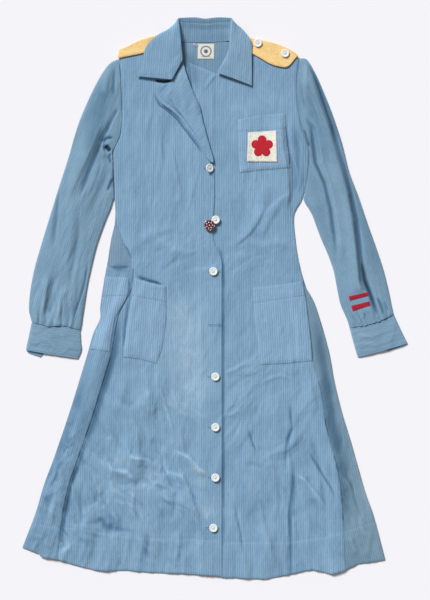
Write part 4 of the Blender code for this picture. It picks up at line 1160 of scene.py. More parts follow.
sleeveRight = {
    "grain": 18.0,
    "rows": [
        ((237.3, 118), (240.8, 154), (242.2, 200), (242.3, 240), (237.8, 273), (223, 304),
         (226.3, 332), (228, 372), (229.1, 398)),
        ((218, 129), (226, 190), (228, 260), (222, 330), (226, 402)),
        ((198, 158), (215, 282), (223, 412)),
        ((176, 202), (202, 312), (218.5, 424)),
        ((155, 254), (187, 346), (212.5, 438)),
        ((137, 316), (172, 387), (205, 458)),
        ((117, 378), (157, 430), (196, 483)),
        ((99, 436), (144, 472), (189, 508)),
        ((82, 492), (132, 515), (182, 538)),
        ((69, 538), (122, 552), (176, 566)),
        ((61, 580), (116, 590), (170.5, 600)),
        ((58, 616), (112, 622), (166, 628)),
        ((61, 634), (112, 638), (163.5, 646)),
        ((64, 644), (97, 653), (128, 651), (161, 660)),
    ],
    "folds": [
        ([(216, 140), (190, 230)], 9, 0.7, 0),
        ([(232, 150), (214, 250)], 7, 0.5, 0),
        ([(200, 260), (150, 440)], 13, 1.0, 0),
        ([(160, 350), (140, 480)], 14, 0.7, 0),
        ([(112, 480), (96, 600)], 13, 0.8, 0),
    ],
    "creases": [
        ([(232, 128), (228, 160), (226, 192)], 4, -1.4, 0),
        ([(222, 134), (214, 160), (208, 192)], 6, 1.4, 0.2),
        ([(238, 214), (228, 232), (219, 250), (212, 270)], 4, -1.0, 0.2),
        ([(222, 240), (208, 268), (196, 300), (176, 347), (158, 400)], 5.5, -2.8, 0.3),
        ([(206, 232), (194, 262), (180, 298), (160, 342), (137, 396)], 12, 2.2, 0.5),
        ([(212, 291), (216, 298), (221, 303)], 3.6, -4.4, 0),
        ([(206, 280), (205, 298), (211, 316)], 4, 1.8, 0.4),
        ([(207, 284), (215, 276), (228, 276)], 3.0, -1.3, 0),
        ([(222, 304), (219, 316), (222, 328)], 2.8, -1.2, 0),
        ([(224, 322), (210, 360), (190, 404), (176, 436)], 7, -1.4, 0),
        ([(200, 322), (190, 356), (172, 396)], 6, 1.3, 0.3),
        ([(230, 354), (222, 366), (216, 384)], 3.4, -1.8, 0),
        ([(118, 380), (113, 440), (106, 500)], 5, -1.2, 0),
        ([(110, 380), (104, 440), (96, 500)], 9, 1.0, 0.3),
        ([(158, 410), (158, 470), (150, 520), (140, 580)], 5, -0.9, 0),
        ([(146, 410), (144, 470), (136, 520), (126, 580)], 10, 1.2, 0.3),
        ([(178, 520), (168, 572), (160, 600), (150, 628), (143, 652)], 3.0, -1.4, 0),
        ([(98, 550), (90, 596), (84, 632)], 7, 2.4, 0.4),
        ([(110, 550), (102, 594), (96, 634)], 5, -2.4, 0),
        ([(134, 570), (124, 606), (116, 640)], 7, 1.4, 0.3),
    ],
    # painted shade (-) and painted highlight (+), with painted shadow in the underarm cavity
    "paintedShades": [
        ([(212, 291), (217, 297), (221, 303)], 3.4, -1.5, 0),
        ([(206, 286), (213, 277), (228, 275)], 2.4, -0.4, 0),
        ([(222, 304), (219, 316), (223, 330)], 2.4, -0.45, 0),
        ([(224, 284), (218, 290), (208, 296)], 2.2, -0.4, 0),
        ([(222, 240), (197, 300), (178, 347), (158, 398)], 5, -0.5, 0),
        ([(238, 214), (228, 232), (219, 250), (212, 270)], 3.0, -0.2, 0),
        ([(222, 150), (194, 240), (170, 330)], 26, -0.3, 0),
        ([(230, 354), (222, 366), (216, 384)], 2.6, -0.4, 0),
        ([(178, 520), (168, 572), (160, 600), (150, 628), (143, 652)], 1.9, -0.42, 0),
        ([(118, 380), (113, 440), (106, 500)], 4.0, -0.2, 0),
        ([(216, 330), (196, 390), (176, 450)], 14, -0.16, 0),
        ([(160, 240), (126, 340), (102, 424)], 7, -0.2, 0),
        ([(158, 420), (150, 530)], 10, -0.12, 0),
        ([(228, 130), (226, 200)], 8, -0.16, 0),
        ([(112, 576), (98, 634)], 4, -0.26, 0),
        ([(228, 330), (224, 380)], 6, -0.3, 0),
        ([(176, 250), (146, 340), (126, 440)], 11, 0.12, 0),
        ([(64, 644), (97, 652), (128, 650), (161, 658)], 3.0, -0.15, 0),
    ],
    "crumples": [
        ((190, 280), (50, 130), 22, 130, 30, 1.0, 310),
        ((132, 500), (60, 110), 12, 120, 28, 1.0, 320),
        ((112, 620), (60, 40), 0, 60, 22, 1.5, 330),
    ],
    "gathers": {
        "seam": [(64, 646), (161, 660)], "spacing": 14.5, "height": 4.6, "reach": 30.0, "lean": 0.05, "seed": 61,
    },
    "overlap": 1.5,
    "restsOn": ["cuff_right"],
}
sleeveLeft = {
    "grain": -21.0,
    "rows": [
        ((600, 117), (595, 150), (594.5, 175), (597.5, 205), (601.8, 240), (612.8, 276),
         (620.2, 308), (617.4, 356), (606.5, 398)),
        ((614, 120), (608, 180), (612, 250), (622, 320), (608, 402)),
        ((630, 146), (624, 280), (611, 408)),
        ((646, 182), (634, 300), (617, 417)),
        ((665, 230), (646, 330), (625, 432)),
        ((682, 282), (658, 368), (633, 454)),
        ((697, 341), (670, 410), (643, 480)),
        ((716, 392), (686, 451), (656, 510)),
        ((733, 443), (700, 492), (667, 542)),
        ((750, 490), (712, 531), (673, 572)),
        ((766, 538), (723, 572), (680, 606)),
        ((778, 587), (734, 607), (689, 628)),
        ((783, 612), (739, 629), (695, 642)),
        ((787, 628), (760, 642), (730, 651), (698.5, 655)),
    ],
    "folds": [
        ([(608, 128), (640, 200)], 9, 0.8, 0),
        ([(602, 150), (620, 230)], 7, 0.5, 0),
        ([(640, 230), (728, 560)], 11, 1.1, 0),
        ([(636, 300), (680, 560)], 13, 0.8, 0),
    ],
    "creases": [
        ([(604, 128), (600, 160), (603, 195), (612, 225)], 4, -1.2, 0),
        ([(613, 124), (612, 150), (614, 178)], 5, 1.2, 0.2),
        ([(613, 122), (628, 150), (641, 187), (654, 227), (664, 256), (676, 300)], 3.6, -3.0, 0),
        ([(606, 128), (620, 158), (632, 192), (645, 232), (656, 262), (668, 304)], 9, 2.6, 0.6),
        ([(652, 252), (665, 293), (679, 340), (692, 387), (702, 440), (709, 500), (715, 560),
                              (724, 596), (744, 634)], 9, 3.4, 0.55),
        ([(661, 252), (675, 293), (689, 340), (702, 387), (712, 440), (719, 500), (725, 560),
                             (735, 596), (756, 634)], 4.0, -3.6, 0),
        ([(668, 252), (690, 320), (712, 400), (728, 480), (738, 550)], 16, 1.8, -0.5),
        ([(606, 232), (622, 252), (627, 293), (631, 327), (648, 367), (661, 420), (668, 473),
                            (674, 527)], 4.2, -2.6, 0),
        ([(618, 232), (634, 256), (640, 293), (645, 327), (660, 367), (672, 420), (680, 473),
                             (686, 527)], 8, 2.4, -0.6),
        ([(603, 258), (608, 276), (615, 298)], 5, -4.0, 0),
        ([(628, 380), (640, 440), (652, 500)], 10, 1.2, 0),
    ],
    # painted shade (-) and painted highlight (+) along the folds and over the cuff's tucks
    "paintedShades": [
        ([(622, 130), (644, 180), (664, 240), (680, 300)], 8, -0.32, 0),
        ([(613, 122), (628, 150), (641, 187), (654, 227), (664, 256), (676, 300)], 2.8, -0.5, 0),
        ([(664, 256), (690, 340), (713, 440), (727, 560), (757, 634)], 4, -0.55, 0),
        ([(690, 320), (722, 420), (745, 520), (764, 590)], 16, -0.2, 0),
        ([(606, 240), (622, 256), (627, 293), (632, 330), (649, 367), (662, 420), (669, 473), (675, 527)],
         3.6, -0.42, 0),
        ([(606, 150), (634, 240), (660, 340)], 24, -0.24, 0),
        ([(618, 320), (636, 410), (656, 500)], 12, -0.16, 0),
        ([(604, 258), (609, 276), (616, 298)], 5, -0.8, 0),
        ([(722, 520), (730, 560), (741, 592), (750, 618), (754, 636)], 4.0, -0.8, 0),
        ([(752, 592), (762, 614), (768, 634)], 3.0, -0.55, 0),
        ([(730, 622), (726, 642)], 2.6, -0.35, 0),
        ([(766, 600), (776, 622)], 2.6, -0.35, 0),
        ([(746, 596), (757, 622), (762, 640)], 2.4, 0.3, 0),
        ([(640, 260), (672, 360), (696, 470), (706, 560)], 12, 0.1, 0),
        ([(787, 627), (760, 641), (730, 650), (699, 654)], 3.0, -0.12, 0),
    ],
    "crumples": [
        ((640, 280), (50, 130), -22, 130, 30, 1.0, 410),
        ((706, 490), (60, 110), -22, 110, 30, 1.1, 420),
        ((740, 620), (50, 36), -24, 60, 22, 1.5, 430),
    ],
    "gathers": {
        "seam": [(787, 630), (698, 656)], "spacing": 12.5, "height": 4.4, "reach": 28.0, "lean": -0.1, "seed": 71,
    },
    "overlap": -1.5,
    "restsOn": ["cuff_left"],
    "calm": [(716, 602, 26, 20)],  # across, down and half sizes of a place that lies smooth
}
cuffRight = {
    "grain": -83.0,
    "rows": [
        ((63.8, 644.5), (97, 653.5), (128, 651.5), (160.7, 660.5)),
        ((58, 672), (110, 678), (162, 684)),
        ((54, 690), (108, 694), (163.4, 700)),
        ((52.4, 700.5), (92, 707), (157, 717)),
    ],
    "folds": [],
    "creases": [
        ([(76, 668), (100, 684), (120, 700)], 3.5, 0.5, 0.3),
        ([(120, 664), (134, 684), (150, 696)], 3.5, 0.4, -0.3),
        ([(60, 690), (80, 694)], 4, -0.8, 0),
    ],
    "crumples": [((108, 684), (60, 40), 40, 50, 26, 0.8, 510)],
    "height": 4.4,
    "flap": 14.0,
    "restsOn": [],
}
cuffLeft = {
    "grain": 74.0,
    "rows": [
        ((787.2, 628.5), (760.2, 642.5), (730.1, 651.5), (698.9, 655.5)),
        ((797, 650), (751, 667), (704.5, 677)),
        ((806, 669), (758, 685), (709.5, 695)),
        ((815, 686.5), (764, 702), (715, 714)),
    ],
    "folds": [],
    "creases": [
        ([(712, 668), (740, 674), (770, 664)], 4, 0.8, 0.3),
        ([(724, 690), (756, 690), (790, 676)], 4, 0.7, -0.3),
    ],
    "crumples": [((758, 674), (60, 40), 20, 50, 26, 0.6, 520)],
    "height": 4.4,
    "flap": 5.0,
    "restsOn": [],
}
tubeShape = {
    "middle": 1.75, "height": 5.7, "lowest": 2.7, "under": 16, "power": 3.0, "cellShare": 0.85, "fine": 161,
    "thinEnd": 0.22, "thinReach": 12.0, "creases": 1.3,
}


def gatherRelief(look, across, down):
    # puffed tucks that start in the cuff's seam and fade up the sleeve
    start, end = np.array(look["seam"][0], float), np.array(look["seam"][1], float)
    way = (end - start) / np.linalg.norm(end - start)
    along = (across - start[0]) * way[0] + (down - start[1]) * way[1]
    above = np.abs((across - start[0]) * way[1] - (down - start[1]) * way[0])
    along = along + look["lean"] * above + 5.0 * latticeNoise(along / 23.0, above / 50.0, look["seed"])
    tuck = np.sqrt(np.sin(math.pi * along / look["spacing"]) ** 2 + 0.02)
    vary = 0.75 + 0.9 * latticeNoise(along / 19.0, above / 60.0, look["seed"] + 1)
    grown = np.exp(-above / look["reach"]) * (0.3 + 0.7 * smooth(above / 7.0))
    return look["height"] * grown * vary * (tuck - 0.45)


def tubeTop(cut):
    lowest = tubeShape["lowest"]

    def height(across, down):
        calm = np.ones(np.shape(across))
        for a, d, halfA, halfD in cut.get("calm", []):
            calm *= 1.0 - np.exp(-(((across - a) / halfA) ** 2 + ((down - d) / halfD) ** 2) ** 2)
        detail = tubeShape["creases"] * creaseField(cut["creases"], across, down)
        detail = detail + crumpled(across, down, cut["crumples"])
        if "gathers" in cut:
            detail = detail + gatherRelief(cut["gathers"], across, down)
        relief = creaseField(cut["folds"], across, down) + calm * (detail + waves(across, down, 5, 60.0, 0.3))
        lifted = cut.get("height", tubeShape["height"]) + relief - lowest
        return lowest + 0.5 * (lifted + np.sqrt(lifted * lifted + 0.2))

    return height


def tube(name, cut, finish):
    # A flattened tube of cloth: flat below, with its creases in the upper side.
    wall, cell = cloth["wall"], cloth["cell"] * tubeShape["cellShare"]
    middle, power = tubeShape["middle"], tubeShape["power"]
    top = tubeTop(cut)
    fine = np.linspace(0.0, 1.0, tubeShape["fine"])
    knots = np.stack([rowPoints(row, fine) for row in cut["rows"]])
    grid = splineAt(knots, evenSteps(knots, cell))
    widest = max(np.linalg.norm(np.subtract(row[-1], row[0])) for row in cut["rows"])
    rings, upperCount, underCount = len(grid), int(widest / cell), tubeShape["under"]
    upperShares = (1.0 - np.cos(np.linspace(0.0, math.pi, upperCount))) / 2.0
    upperShares = 0.35 * upperShares + 0.65 * np.linspace(0.0, 1.0, upperCount)
    back = ((1.0 + np.cos(np.linspace(0.0, math.pi, underCount + 2))) / 2.0)[1:-1]
    shares = np.concatenate([upperShares, back])
    count = len(shares)
    isUpper = np.arange(count) < upperCount
    rounding = (1.0 - np.abs(2.0 * shares - 1.0) ** power) ** (1.0 / power)
    widths = np.linalg.norm(grid[:, -1] - grid[:, 0], axis=-1)
    along = runOf(grid[:, len(fine) // 2])
    walls, laid = [], "overlap" in cut
    thin = np.full((rings, 1), wall)
    if laid:
        # the sleeve's end thins out where it lies over the body's armhole edge
        least = tubeShape["thinEnd"]
        thin = wall * (least + (1.0 - least) * smooth(along / tubeShape["thinReach"]))[:, None]
        body = frontRightUnder if cut["overlap"] > 0 else frontLeftUnder
    for side in (0.0, 1.0):
        inset = side * thin
        inward = inset / widths[:, None]
        u = inward + shares[None, :] * (1.0 - 2.0 * inward)
        at = u * (len(fine) - 1)
        i = np.minimum(at.astype(int), len(fine) - 2)
        f = (at - i)[..., None]
        ring = np.arange(rings)[:, None]
        spot = grid[ring, i] * (1.0 - f) + grid[ring, i + 1] * f
        across, down = spot[..., 0], spot[..., 1].copy()
        peak = top(across, down) - inset
        if laid:
            need = body(across, down) + wall + 0.2 + thin - inset
            peak = peak + (need - peak) * np.exp(-((along[:, None] / 9.0) ** 2))
        upper = middle + (peak - middle) * rounding
        height = np.where(isUpper, upper, middle - (middle - inset) * rounding)
        if laid:
            lying = isUpper & (height > body(across, down) + wall + 0.15 + thin - inset)
            across = across + cut["overlap"] * lying * np.exp(-((along[:, None] / 3.0) ** 2))
        if "flap" in cut:
            share = u[-1]
            push = cut["flap"] * smooth(share / 0.06) * smooth((0.42 - share) / 0.05) * (0.3 + share)
            down[-1] += np.where(isUpper, 0.0, push)
        walls.append(place(across, down, height))
        if side == 0.0:
            tops, paintedShades = height, creaseField(cut.get("paintedShades", []), across, down)
    index = np.arange(rings * count).reshape(rings, count)
    after = np.roll(index, -1, axis=1)
    outer = np.stack([index[:-1], index[1:], after[1:], after[:-1]], axis=-1).reshape(-1, 4)
    faces = [outer, outer[:, ::-1] + rings * count]
    for end, turn in ((0, 1), (-1, -1)):
        line, beside = index[end], after[end]
        quad = np.stack([line, beside, beside + rings * count, line + rings * count], axis=-1)
        faces.append(quad[:, ::turn])
    quads = np.concatenate(faces)
    flatAcross = walls[0][..., 0] / table["mm"] + 0.3 * (tops - tops.mean())
    flatDown = table["down"] - walls[0][..., 1] / table["mm"]
    grain = turnedGrain(flatAcross, flatDown, cut["grain"]).reshape(-1, 2)
    corners = np.concatenate([grain, grain])[quads]
    # painted shade in the creases' troughs and the sleeve's painted shade lines; the lower side is painted a little
    # darker, as shade
    wearAndShade = wearAndShadeOf(np.where(isUpper, tops, 0.0), 1.0, paintedShades).copy()
    wearAndShade[:, ~isUpper] = 0.5
    wearAndShade = np.concatenate([wearAndShade.ravel(), np.full(wearAndShade.size, 0.3)])
    points = np.concatenate([walls[0].reshape(-1, 3), walls[1].reshape(-1, 3)])
    piece = addMesh(name, points, quads, corners, wearAndShade, finish)
    made[name] = {"upper": walls[0][:, :upperCount], "top": top}
    finishPiece(piece, [name])


def makeSleeves():
    pieces = {
        "sleeve_right": sleeveRight, "sleeve_left": sleeveLeft, "cuff_right": cuffRight, "cuff_left": cuffLeft,
    }
    for name, cut in pieces.items():
        tube(name, cut, finishes["sleeve"])


makeSleeves()
print("sleeves and cuffs made")


# Collar: one band that climbs from the neck seam to the roll and comes down as the leaf


collar = {
    "wall": 1.6,
    "cell": 2.6,
    # painted highlight on the left leaf
    "leftPaintedLight": 0.16,  # how much paler the left leaf is
    # the neck seam, the roll, the middle of the leaf and its outer edge, each as across, down, height
    "stations": [
        ((357, 123, 6.4), (365, 122, 10.5), (344, 160.5, 11.5), (274, 153.5, 9.5)),
        ((354, 104, 6.4), (363, 100, 12.5), (330, 118, 12.0), (284, 124, 9.5)),
        ((353, 92, 6.0), (361, 80, 13.5), (331, 90, 12.5), (292, 96, 10.0)),
        ((354, 84, 5.0), (359.5, 60, 14.0), (340, 70, 12.5), (312, 74, 10.0)),
        ((357, 83, 3.8), (357.5, 44, 13.5), (348, 54, 11.5), (330, 64, 8.0)),
        ((361, 83.5, 3.2), (358.5, 39, 12.5), (350, 50, 9.0), (341.5, 61, 5.0)),
        ((372, 84, 1.6), (372, 38, 11.5), (364, 56, 6.0), (357, 70, 1.2)),
        ((393, 85, 1.6), (392, 37.5, 11.0), (391, 58, 5.2), (390, 76, 0.9)),
        ((412, 85, 1.6), (411, 40, 10.5), (411, 58, 5.0), (411, 76, 0.9)),
        ((432, 84, 1.6), (434, 37.5, 11.0), (432, 57, 5.2), (431, 75, 0.9)),
        ((448, 83, 1.6), (453, 38, 11.5), (456, 54, 6.0), (462, 66, 1.2)),
        ((458, 82, 3.2), (463, 40, 12.5), (471, 49, 9.0), (480, 58, 5.0)),
        ((462, 83, 3.8), (462, 52, 13.5), (475, 60, 11.5), (492, 68, 8.0)),
        ((464, 92, 5.2), (460, 80, 13.5), (480, 83, 12.5), (502, 84, 10.0)),
        ((461, 110, 6.2), (457, 104, 12.5), (480, 111, 12.0), (503, 110, 9.5)),
        ((452, 131, 6.2), (447, 126, 11.5), (477, 140, 11.0), (503.5, 144, 9.0)),
        ((441, 147, 6.2), (434.5, 147, 10.0), (464, 157, 10.5), (503, 172, 9.0)),
    ],
    # share round the neck, share up the band, half widths of both, height
    "dents": [
        (0.50, 0.22, 0.20, 0.030, 0.7), (0.46, 0.30, 0.16, 0.022, -0.7), (0.55, 0.15, 0.14, 0.022, -0.6),
        (0.15, 0.70, 0.06, 0.10, 0.6), (0.80, 0.72, 0.05, 0.12, 0.6), (0.08, 0.62, 0.03, 0.20, -0.5),
        (0.90, 0.80, 0.04, 0.14, -0.5), (0.73, 0.55, 0.03, 0.12, 0.8), (0.27, 0.55, 0.03, 0.12, 0.7),
        (0.93, 0.55, 0.025, 0.2, 0.6), (0.04, 0.8, 0.03, 0.12, 0.5),
    ],
}


def makeCollar():
    knots = []
    for station in collar["stations"]:
        seam, roll, leaf, edge = np.array(station, float)
        rise = seam + (roll - seam) * 0.7 + [0.0, 0.0, -0.6]
        crown = roll + [0.0, 0.0, 0.5]
        shoulder = roll + (leaf - roll) * 0.28 + [0.0, 0.0, 0.9]
        knots.append([seam, rise, crown, shoulder, leaf, edge])
    knots = np.array(knots)
    stations = splineAt(knots, evenSteps(knots, collar["cell"]))
    across = np.swapaxes(stations, 0, 1)
    stops = np.linspace(0.0, 5.0, 54)
    step = np.minimum(stops.astype(int), 4)
    part = (stops - step)[:, None, None]
    straight = across[step] * (1.0 - part) + across[step + 1] * part
    ends = smooth(1.0 - fromEnds(len(stations)) / 7.0)[:, None, None]
    grid = np.swapaxes(splineAt(across, stops), 0, 1) * (1.0 - ends) + np.swapaxes(straight, 0, 1) * ends
    rows, columns = grid.shape[:2]
    normal = np.cross(np.gradient(grid, axis=0), np.gradient(grid, axis=1))
    normal /= np.linalg.norm(normal, axis=2)[:, :, None]
    r, c = np.meshgrid(np.linspace(0, 1, rows), np.linspace(0, 1, columns), indexing="ij")
    dent = np.zeros((rows, columns))
    for atR, atC, halfR, halfC, tall in collar["dents"]:
        dent += tall * np.exp(-(((r - atR) / halfR) ** 2 + ((c - atC) / halfC) ** 2))
    dent += waves(grid[..., 0], grid[..., 1], 9, 34.0, 0.22)
    facing = np.sign(normal[..., 2:3] + 1e-9)
    grid = grid + normal * facing * dent[..., None] * 0.8
    edge = np.minimum(fromEnds(rows)[:, None], np.arange(columns)[::-1][None, :])
    foot = 0.7 * np.clip(1.0 - np.arange(columns) / 4.0, 0.0, 1.0)[None, :]
    thinned = np.maximum(0.45 * np.clip(1.0 - edge / 1.6, 0.0, 1.0), foot)
    half = collar["wall"] / 2.0 * (1.0 - thinned)[..., None]
    sides = [grid + normal * half, grid - normal * half]
    onLeaf = rows // 8, int(columns * 0.8), 2
    if sides[0][onLeaf] < sides[1][onLeaf]:
        sides = sides[::-1]
    upper = place(*np.moveaxis(sides[0], -1, 0))
    points = [place(s[..., 0], s[..., 1], np.maximum(s[..., 2], 0.02)).reshape(-1, 3) for s in sides]
    grain = turnedGrain(grid[..., 0] + 0.4 * grid[..., 2], grid[..., 1], 4.0).reshape(-1, 2)
    quads = wallQuads(rows, columns)
    corners = np.concatenate([grain, grain])[quads]
    # painted shade in the dents' troughs, paler on their ridges, and the left leaf's painted highlight
    wearAndShade = wearAndShadeOf(dent, 0.8, collar["leftPaintedLight"] * smooth((r - 0.6) / 0.1)).ravel()
    wearAndShade = np.concatenate([wearAndShade, wearAndShade])
    piece = addMesh("collar", np.concatenate(points), quads, corners, wearAndShade, finishes["front"])
    made["collar"] = {"upper": upper}
    finishPiece(piece, ["collar"])


makeCollar()
print("collar made")


# Shoulder straps, patch, label and sleeve bars


strapRight = {
    "rows": [
        ((238.5, 100.5), (235.5, 117.5)),
        ((260, 90.5), (260, 112.5)),
        ((283, 80), (287, 106.5)),
        ((312, 71.5), (318, 95)),
        ((322, 70), (330, 90)),
    ],
    "wall": 1.6, "cell": 1.8, "grain": -20.0,
}
strapLeft = {
    "rows": [
        ((596, 112), (585, 124)),
        ((590, 106), (574, 135)),
        ((572, 96), (556, 133.5)),
        ((549, 87), (539, 128)),
        ((524, 81), (521, 117.5)),
        ((507, 78), (505, 108.5)),
        ((494, 74), (494, 104)),
    ],
    "wall": 1.6, "cell": 1.8, "grain": 22.0,
}
patchCut = {
    "corners": [(496, 266), (552, 262), (553.5, 324), (494, 323.5)],
    "flower": (524.0, 293.5),
    "reach": 22.0,
    "petals": 5,
}
labelCut = {"corners": [(395.8, 88), (428.6, 88), (428.2, 118), (395.4, 118)], "ring": 11.6, "ringWidth": 3.0}
sleeveBars = [
    ("sleeve_bar_upper", [(696.5, 593), (735, 584), (736.5, 591), (699, 600.5)]),
    ("sleeve_bar_lower", [(702, 611.5), (738, 602.5), (740, 610.5), (704.5, 621.5)]),
]


def strapRightUnder(across, down):
    free = smooth((down - (140.0 - 0.18 * across)) / 40.0)
    return frontRightUnder(across, down) + layer + 0.3 + 1.6 * free


def strapLeftUnder(across, down):
    free = smooth((down - (0.42 * across - 125.0)) / 34.0)
    return frontLeftUnder(across, down) + layer + 0.3 + 1.6 * free


def cornered(name, corners, under, finish, cell, wall=cloth["trimWall"]):
    cut = {"rows": [(corners[0], corners[1]), (corners[3], corners[2])], "wall": wall, "cell": cell}
    panel(name, cut, under, finish)


def ringedLabel(name, corners, ring, ringWidth):
    m = Maker(name)
    grain, u, v = m.grain()
    middle = np.mean(np.array(corners, float), axis=0)
    offU, offV = u - float(middle[0]), v - float(middle[1])
    away = (offU * offU + offV * offV) ** 0.5
    band = m.ramp(away, ring - ringWidth, ring - ringWidth + 0.5) * m.ramp(away, ring, ring - 0.5)
    beads = m.maths("SINE", m.maths("ARCTAN2", offV, offU) * 26.0) * 0.5 + 0.5
    rule = m.ramp(offV, 10.2, 10.4) * m.ramp(offV, 11.4, 11.2) * m.ramp(offU * offU, 100.0, 90.0)
    dots = m.ramp(away, 4.2, 3.8)
    ink = m.mix(band * (beads * 0.35 + 0.65), (0.74, 0.73, 0.64), (0.04, 0.07, 0.16))
    ink = m.mix(rule * 0.8, ink, (0.12, 0.17, 0.27))
    ink = m.mix(dots * 0.9, ink, (0.03, 0.05, 0.16))
    weave = m.bump(m.sine(u, 0.5) * m.sine(v, 0.5), 0.00008, 0.8)
    return m.finish(Base_Color=ink, Roughness=0.85, Normal=weave, Sheen_Weight=0.1)


def blossom(name, cut, under, finish):
    # round petals cut from one piece of felt, slightly domed
    spokes, rings = 120, 9
    turns = 2.0 * math.pi * np.arange(spokes) / spokes
    reach = cut["reach"] * (0.62 + 0.38 * np.abs(np.cos(cut["petals"] * turns / 2.0)) ** 0.7)
    shares = np.linspace(0.0, 1.0, rings)[1:]
    a, d = cut["flower"]
    across = np.concatenate([[a]] + [a + s * reach * np.sin(turns) for s in shares])
    down = np.concatenate([[d]] + [d - s * reach * np.cos(turns) for s in shares])
    share = np.concatenate([[0.0]] + [np.full(spokes, s) for s in shares])
    low = under(across, down)
    top = low + cloth["trimWall"] * (1.1 - 0.6 * share**6) - 0.25 * np.exp(-((share - 0.22) / 0.06) ** 2)
    shell = bmesh.new()
    points = np.concatenate([place(across, down, top), place(across, down, low)])
    corners = [shell.verts.new(tuple(p)) for p in points]
    half = 1 + spokes * (rings - 1)
    faces = []
    for k in range(spokes):
        n = (k + 1) % spokes
        faces += [(0, 1 + n, 1 + k), (half, half + 1 + k, half + 1 + n)]
        for r in range(rings - 2):
            a, b = 1 + r * spokes + k, 1 + r * spokes + n
            faces.append((a, b, b + spokes, a + spokes))
            faces.append((half + a, half + a + spokes, half + b + spokes, half + b))
        a, b = half - spokes + k, half - spokes + n
        faces.append((a, b, b + half, a + half))
    for face in faces:
        shell.faces.new([corners[k] for k in face])
    mesh = meshOf(name, shell)
    mesh.shade_smooth()
    mesh.set_sharp_from_angle(angle=math.radians(60))
    mesh.materials.append(finish)
    piece = newObject(name + "_cloth", mesh)
    finishPiece(piece, [name])
    made[name] = {"rim": place(across, down, top)[-spokes:]}


seamStrips = {  # seam allowances inside, which close the view through the seams
    "armhole_right": {
        "path": [(238, 124), (241, 154), (242.6, 200), (242.6, 240), (239, 273), (225, 304), (227.6, 332),
                 (229, 372), (229.8, 386)],
        "width": 11.0,
    },
    "armhole_left": {
        "path": [(598.5, 124), (594, 150), (593.5, 175), (596.5, 205), (600.6, 240), (611, 276), (618.4, 308),
                 (616, 356), (608, 384)],
        "width": 11.0,
    },
    "waist": {"path": [(214.5, 534), (400, 535), (597, 535)], "width": 17.0},
    "wall": 0.25,
}


def stripUnder(across, down):
    return 1.22 + np.interp(down, [118.0, 300.0, 386.0], [0.75, 0.7, 0.02])


def makeSeamStrips():
    for name in ("armhole_right", "armhole_left", "waist"):
        look = seamStrips[name]
        path = np.array(look["path"], float)
        way = np.gradient(path, axis=0)
        way /= np.linalg.norm(way, axis=1)[:, None]
        side = np.stack([-way[:, 1], way[:, 0]], axis=1) * look["width"] / 2.0
        rows = [(tuple(p - n), tuple(p + n)) for p, n in zip(path, side)]
        cut = {"rows": rows, "wall": seamStrips["wall"], "cell": 4.0, "slot": "blue_inside"}
        panel("seam_" + name, cut, stripUnder, finishes["inside"])


def makeTrim():
    slack = cloth["slack"]
    makeSeamStrips()
    panel("strap_right", strapRight, strapRightUnder, finishes["gold"])
    panel("strap_left", strapLeft, strapLeftUnder, finishes["gold"])
    patchUnder = over(frontLeftUnder, 2, 2 * slack)
    cornered("chest_patch", patchCut["corners"], patchUnder, finishes["white"], 1.6)
    flowerUnder = over(frontLeftUnder, 2, 2 * slack + cloth["trimWall"] + cloth["layerGap"] * 0.4)
    blossom("chest_flower", patchCut, flowerUnder, finishes["felt"])
    labelFinish = ringedLabel("neckLabel", labelCut["corners"], labelCut["ring"], labelCut["ringWidth"])
    cornered("neck_label", labelCut["corners"], lambda a, d: np.full(np.shape(a), base), labelFinish, 1.6)
    top = made["sleeve_left"]["top"]
    for name, corners in sleeveBars:
        barUnder = lambda a, d: top(a, d) + cloth["layerGap"]
        cornered(name, corners, barUnder, finishes["braid"], 1.5, 0.9)


makeTrim()
print("straps and trimmings made")


# Buttons and badge


buttonLook = {
    "radius": 8.3,
    "height": 2.6,
    "holeRadius": 0.8,
    "holeFromMiddle": 2.3,
    # share of the radius, share of the height, from the middle of the back round to the middle of the face
    "profile": [
        (0.0, 0.0), (0.5, 0.0), (0.72, 0.02), (0.9, 0.16), (0.985, 0.36), (1.0, 0.55), (0.985, 0.78),
        (0.95, 0.93), (0.9, 1.0), (0.82, 1.0), (0.74, 0.95), (0.66, 0.88), (0.58, 0.83), (0.5, 0.8), (0.3, 0.8),
        (0.0, 0.8),
    ],
}
buttonPlaces = [  # name, across, down, tilt in degrees, turn of the holes
    ("button_1", 419.0, 337.0, 26.0, 20.0),
    ("button_2", 431.5, 440.0, 0.0, 40.0),
    ("button_3", 427.0, 543.0, 0.0, 50.0),
    ("button_4", 431.0, 753.0, 0.0, 12.0),
    ("button_5", 431.0, 854.0, 0.0, 70.0),
    ("button_6", 431.0, 954.5, 0.0, 8.0),
    ("button_7", 427.0, 1055.0, 0.0, 35.0),
]
strapButtonPlaces = [("strap_button_outer", 570.0, 107.5, 30.0), ("strap_button_inner", 515.5, 87.0, 0.0)]
badgeLook = {
    "across": 419.0, "down": 451.0, "radius": 10.4, "height": 2.4, "dots": 7, "rimDots": 20, "pinRadius": 3.0,
    # share of the radius, share of the height above the pin; the rim starts at the pin
    "rim": [(0.9, 0.0), (0.98, None), (1.0, 0.5), (0.97, 0.8), (0.92, 0.86), (0.86, 0.8), (0.84, 0.55), (0.0, 0.55)],
    "dome": [(0.0, 0.56), (0.83, 0.56), (0.82, 0.7), (0.6, 0.82), (0.3, 0.9), (0.0, 0.92)],
}


def joinRings(shell, rings):
    for low, high in zip(rings[:-1], rings[1:]):
        sides = max(len(low), len(high))
        for k in range(sides):
            n = (k + 1) % sides
            corners = [low[k % len(low)], low[n % len(low)], high[n % len(high)], high[k % len(high)]]
            shell.faces.new(list(dict.fromkeys(corners)))


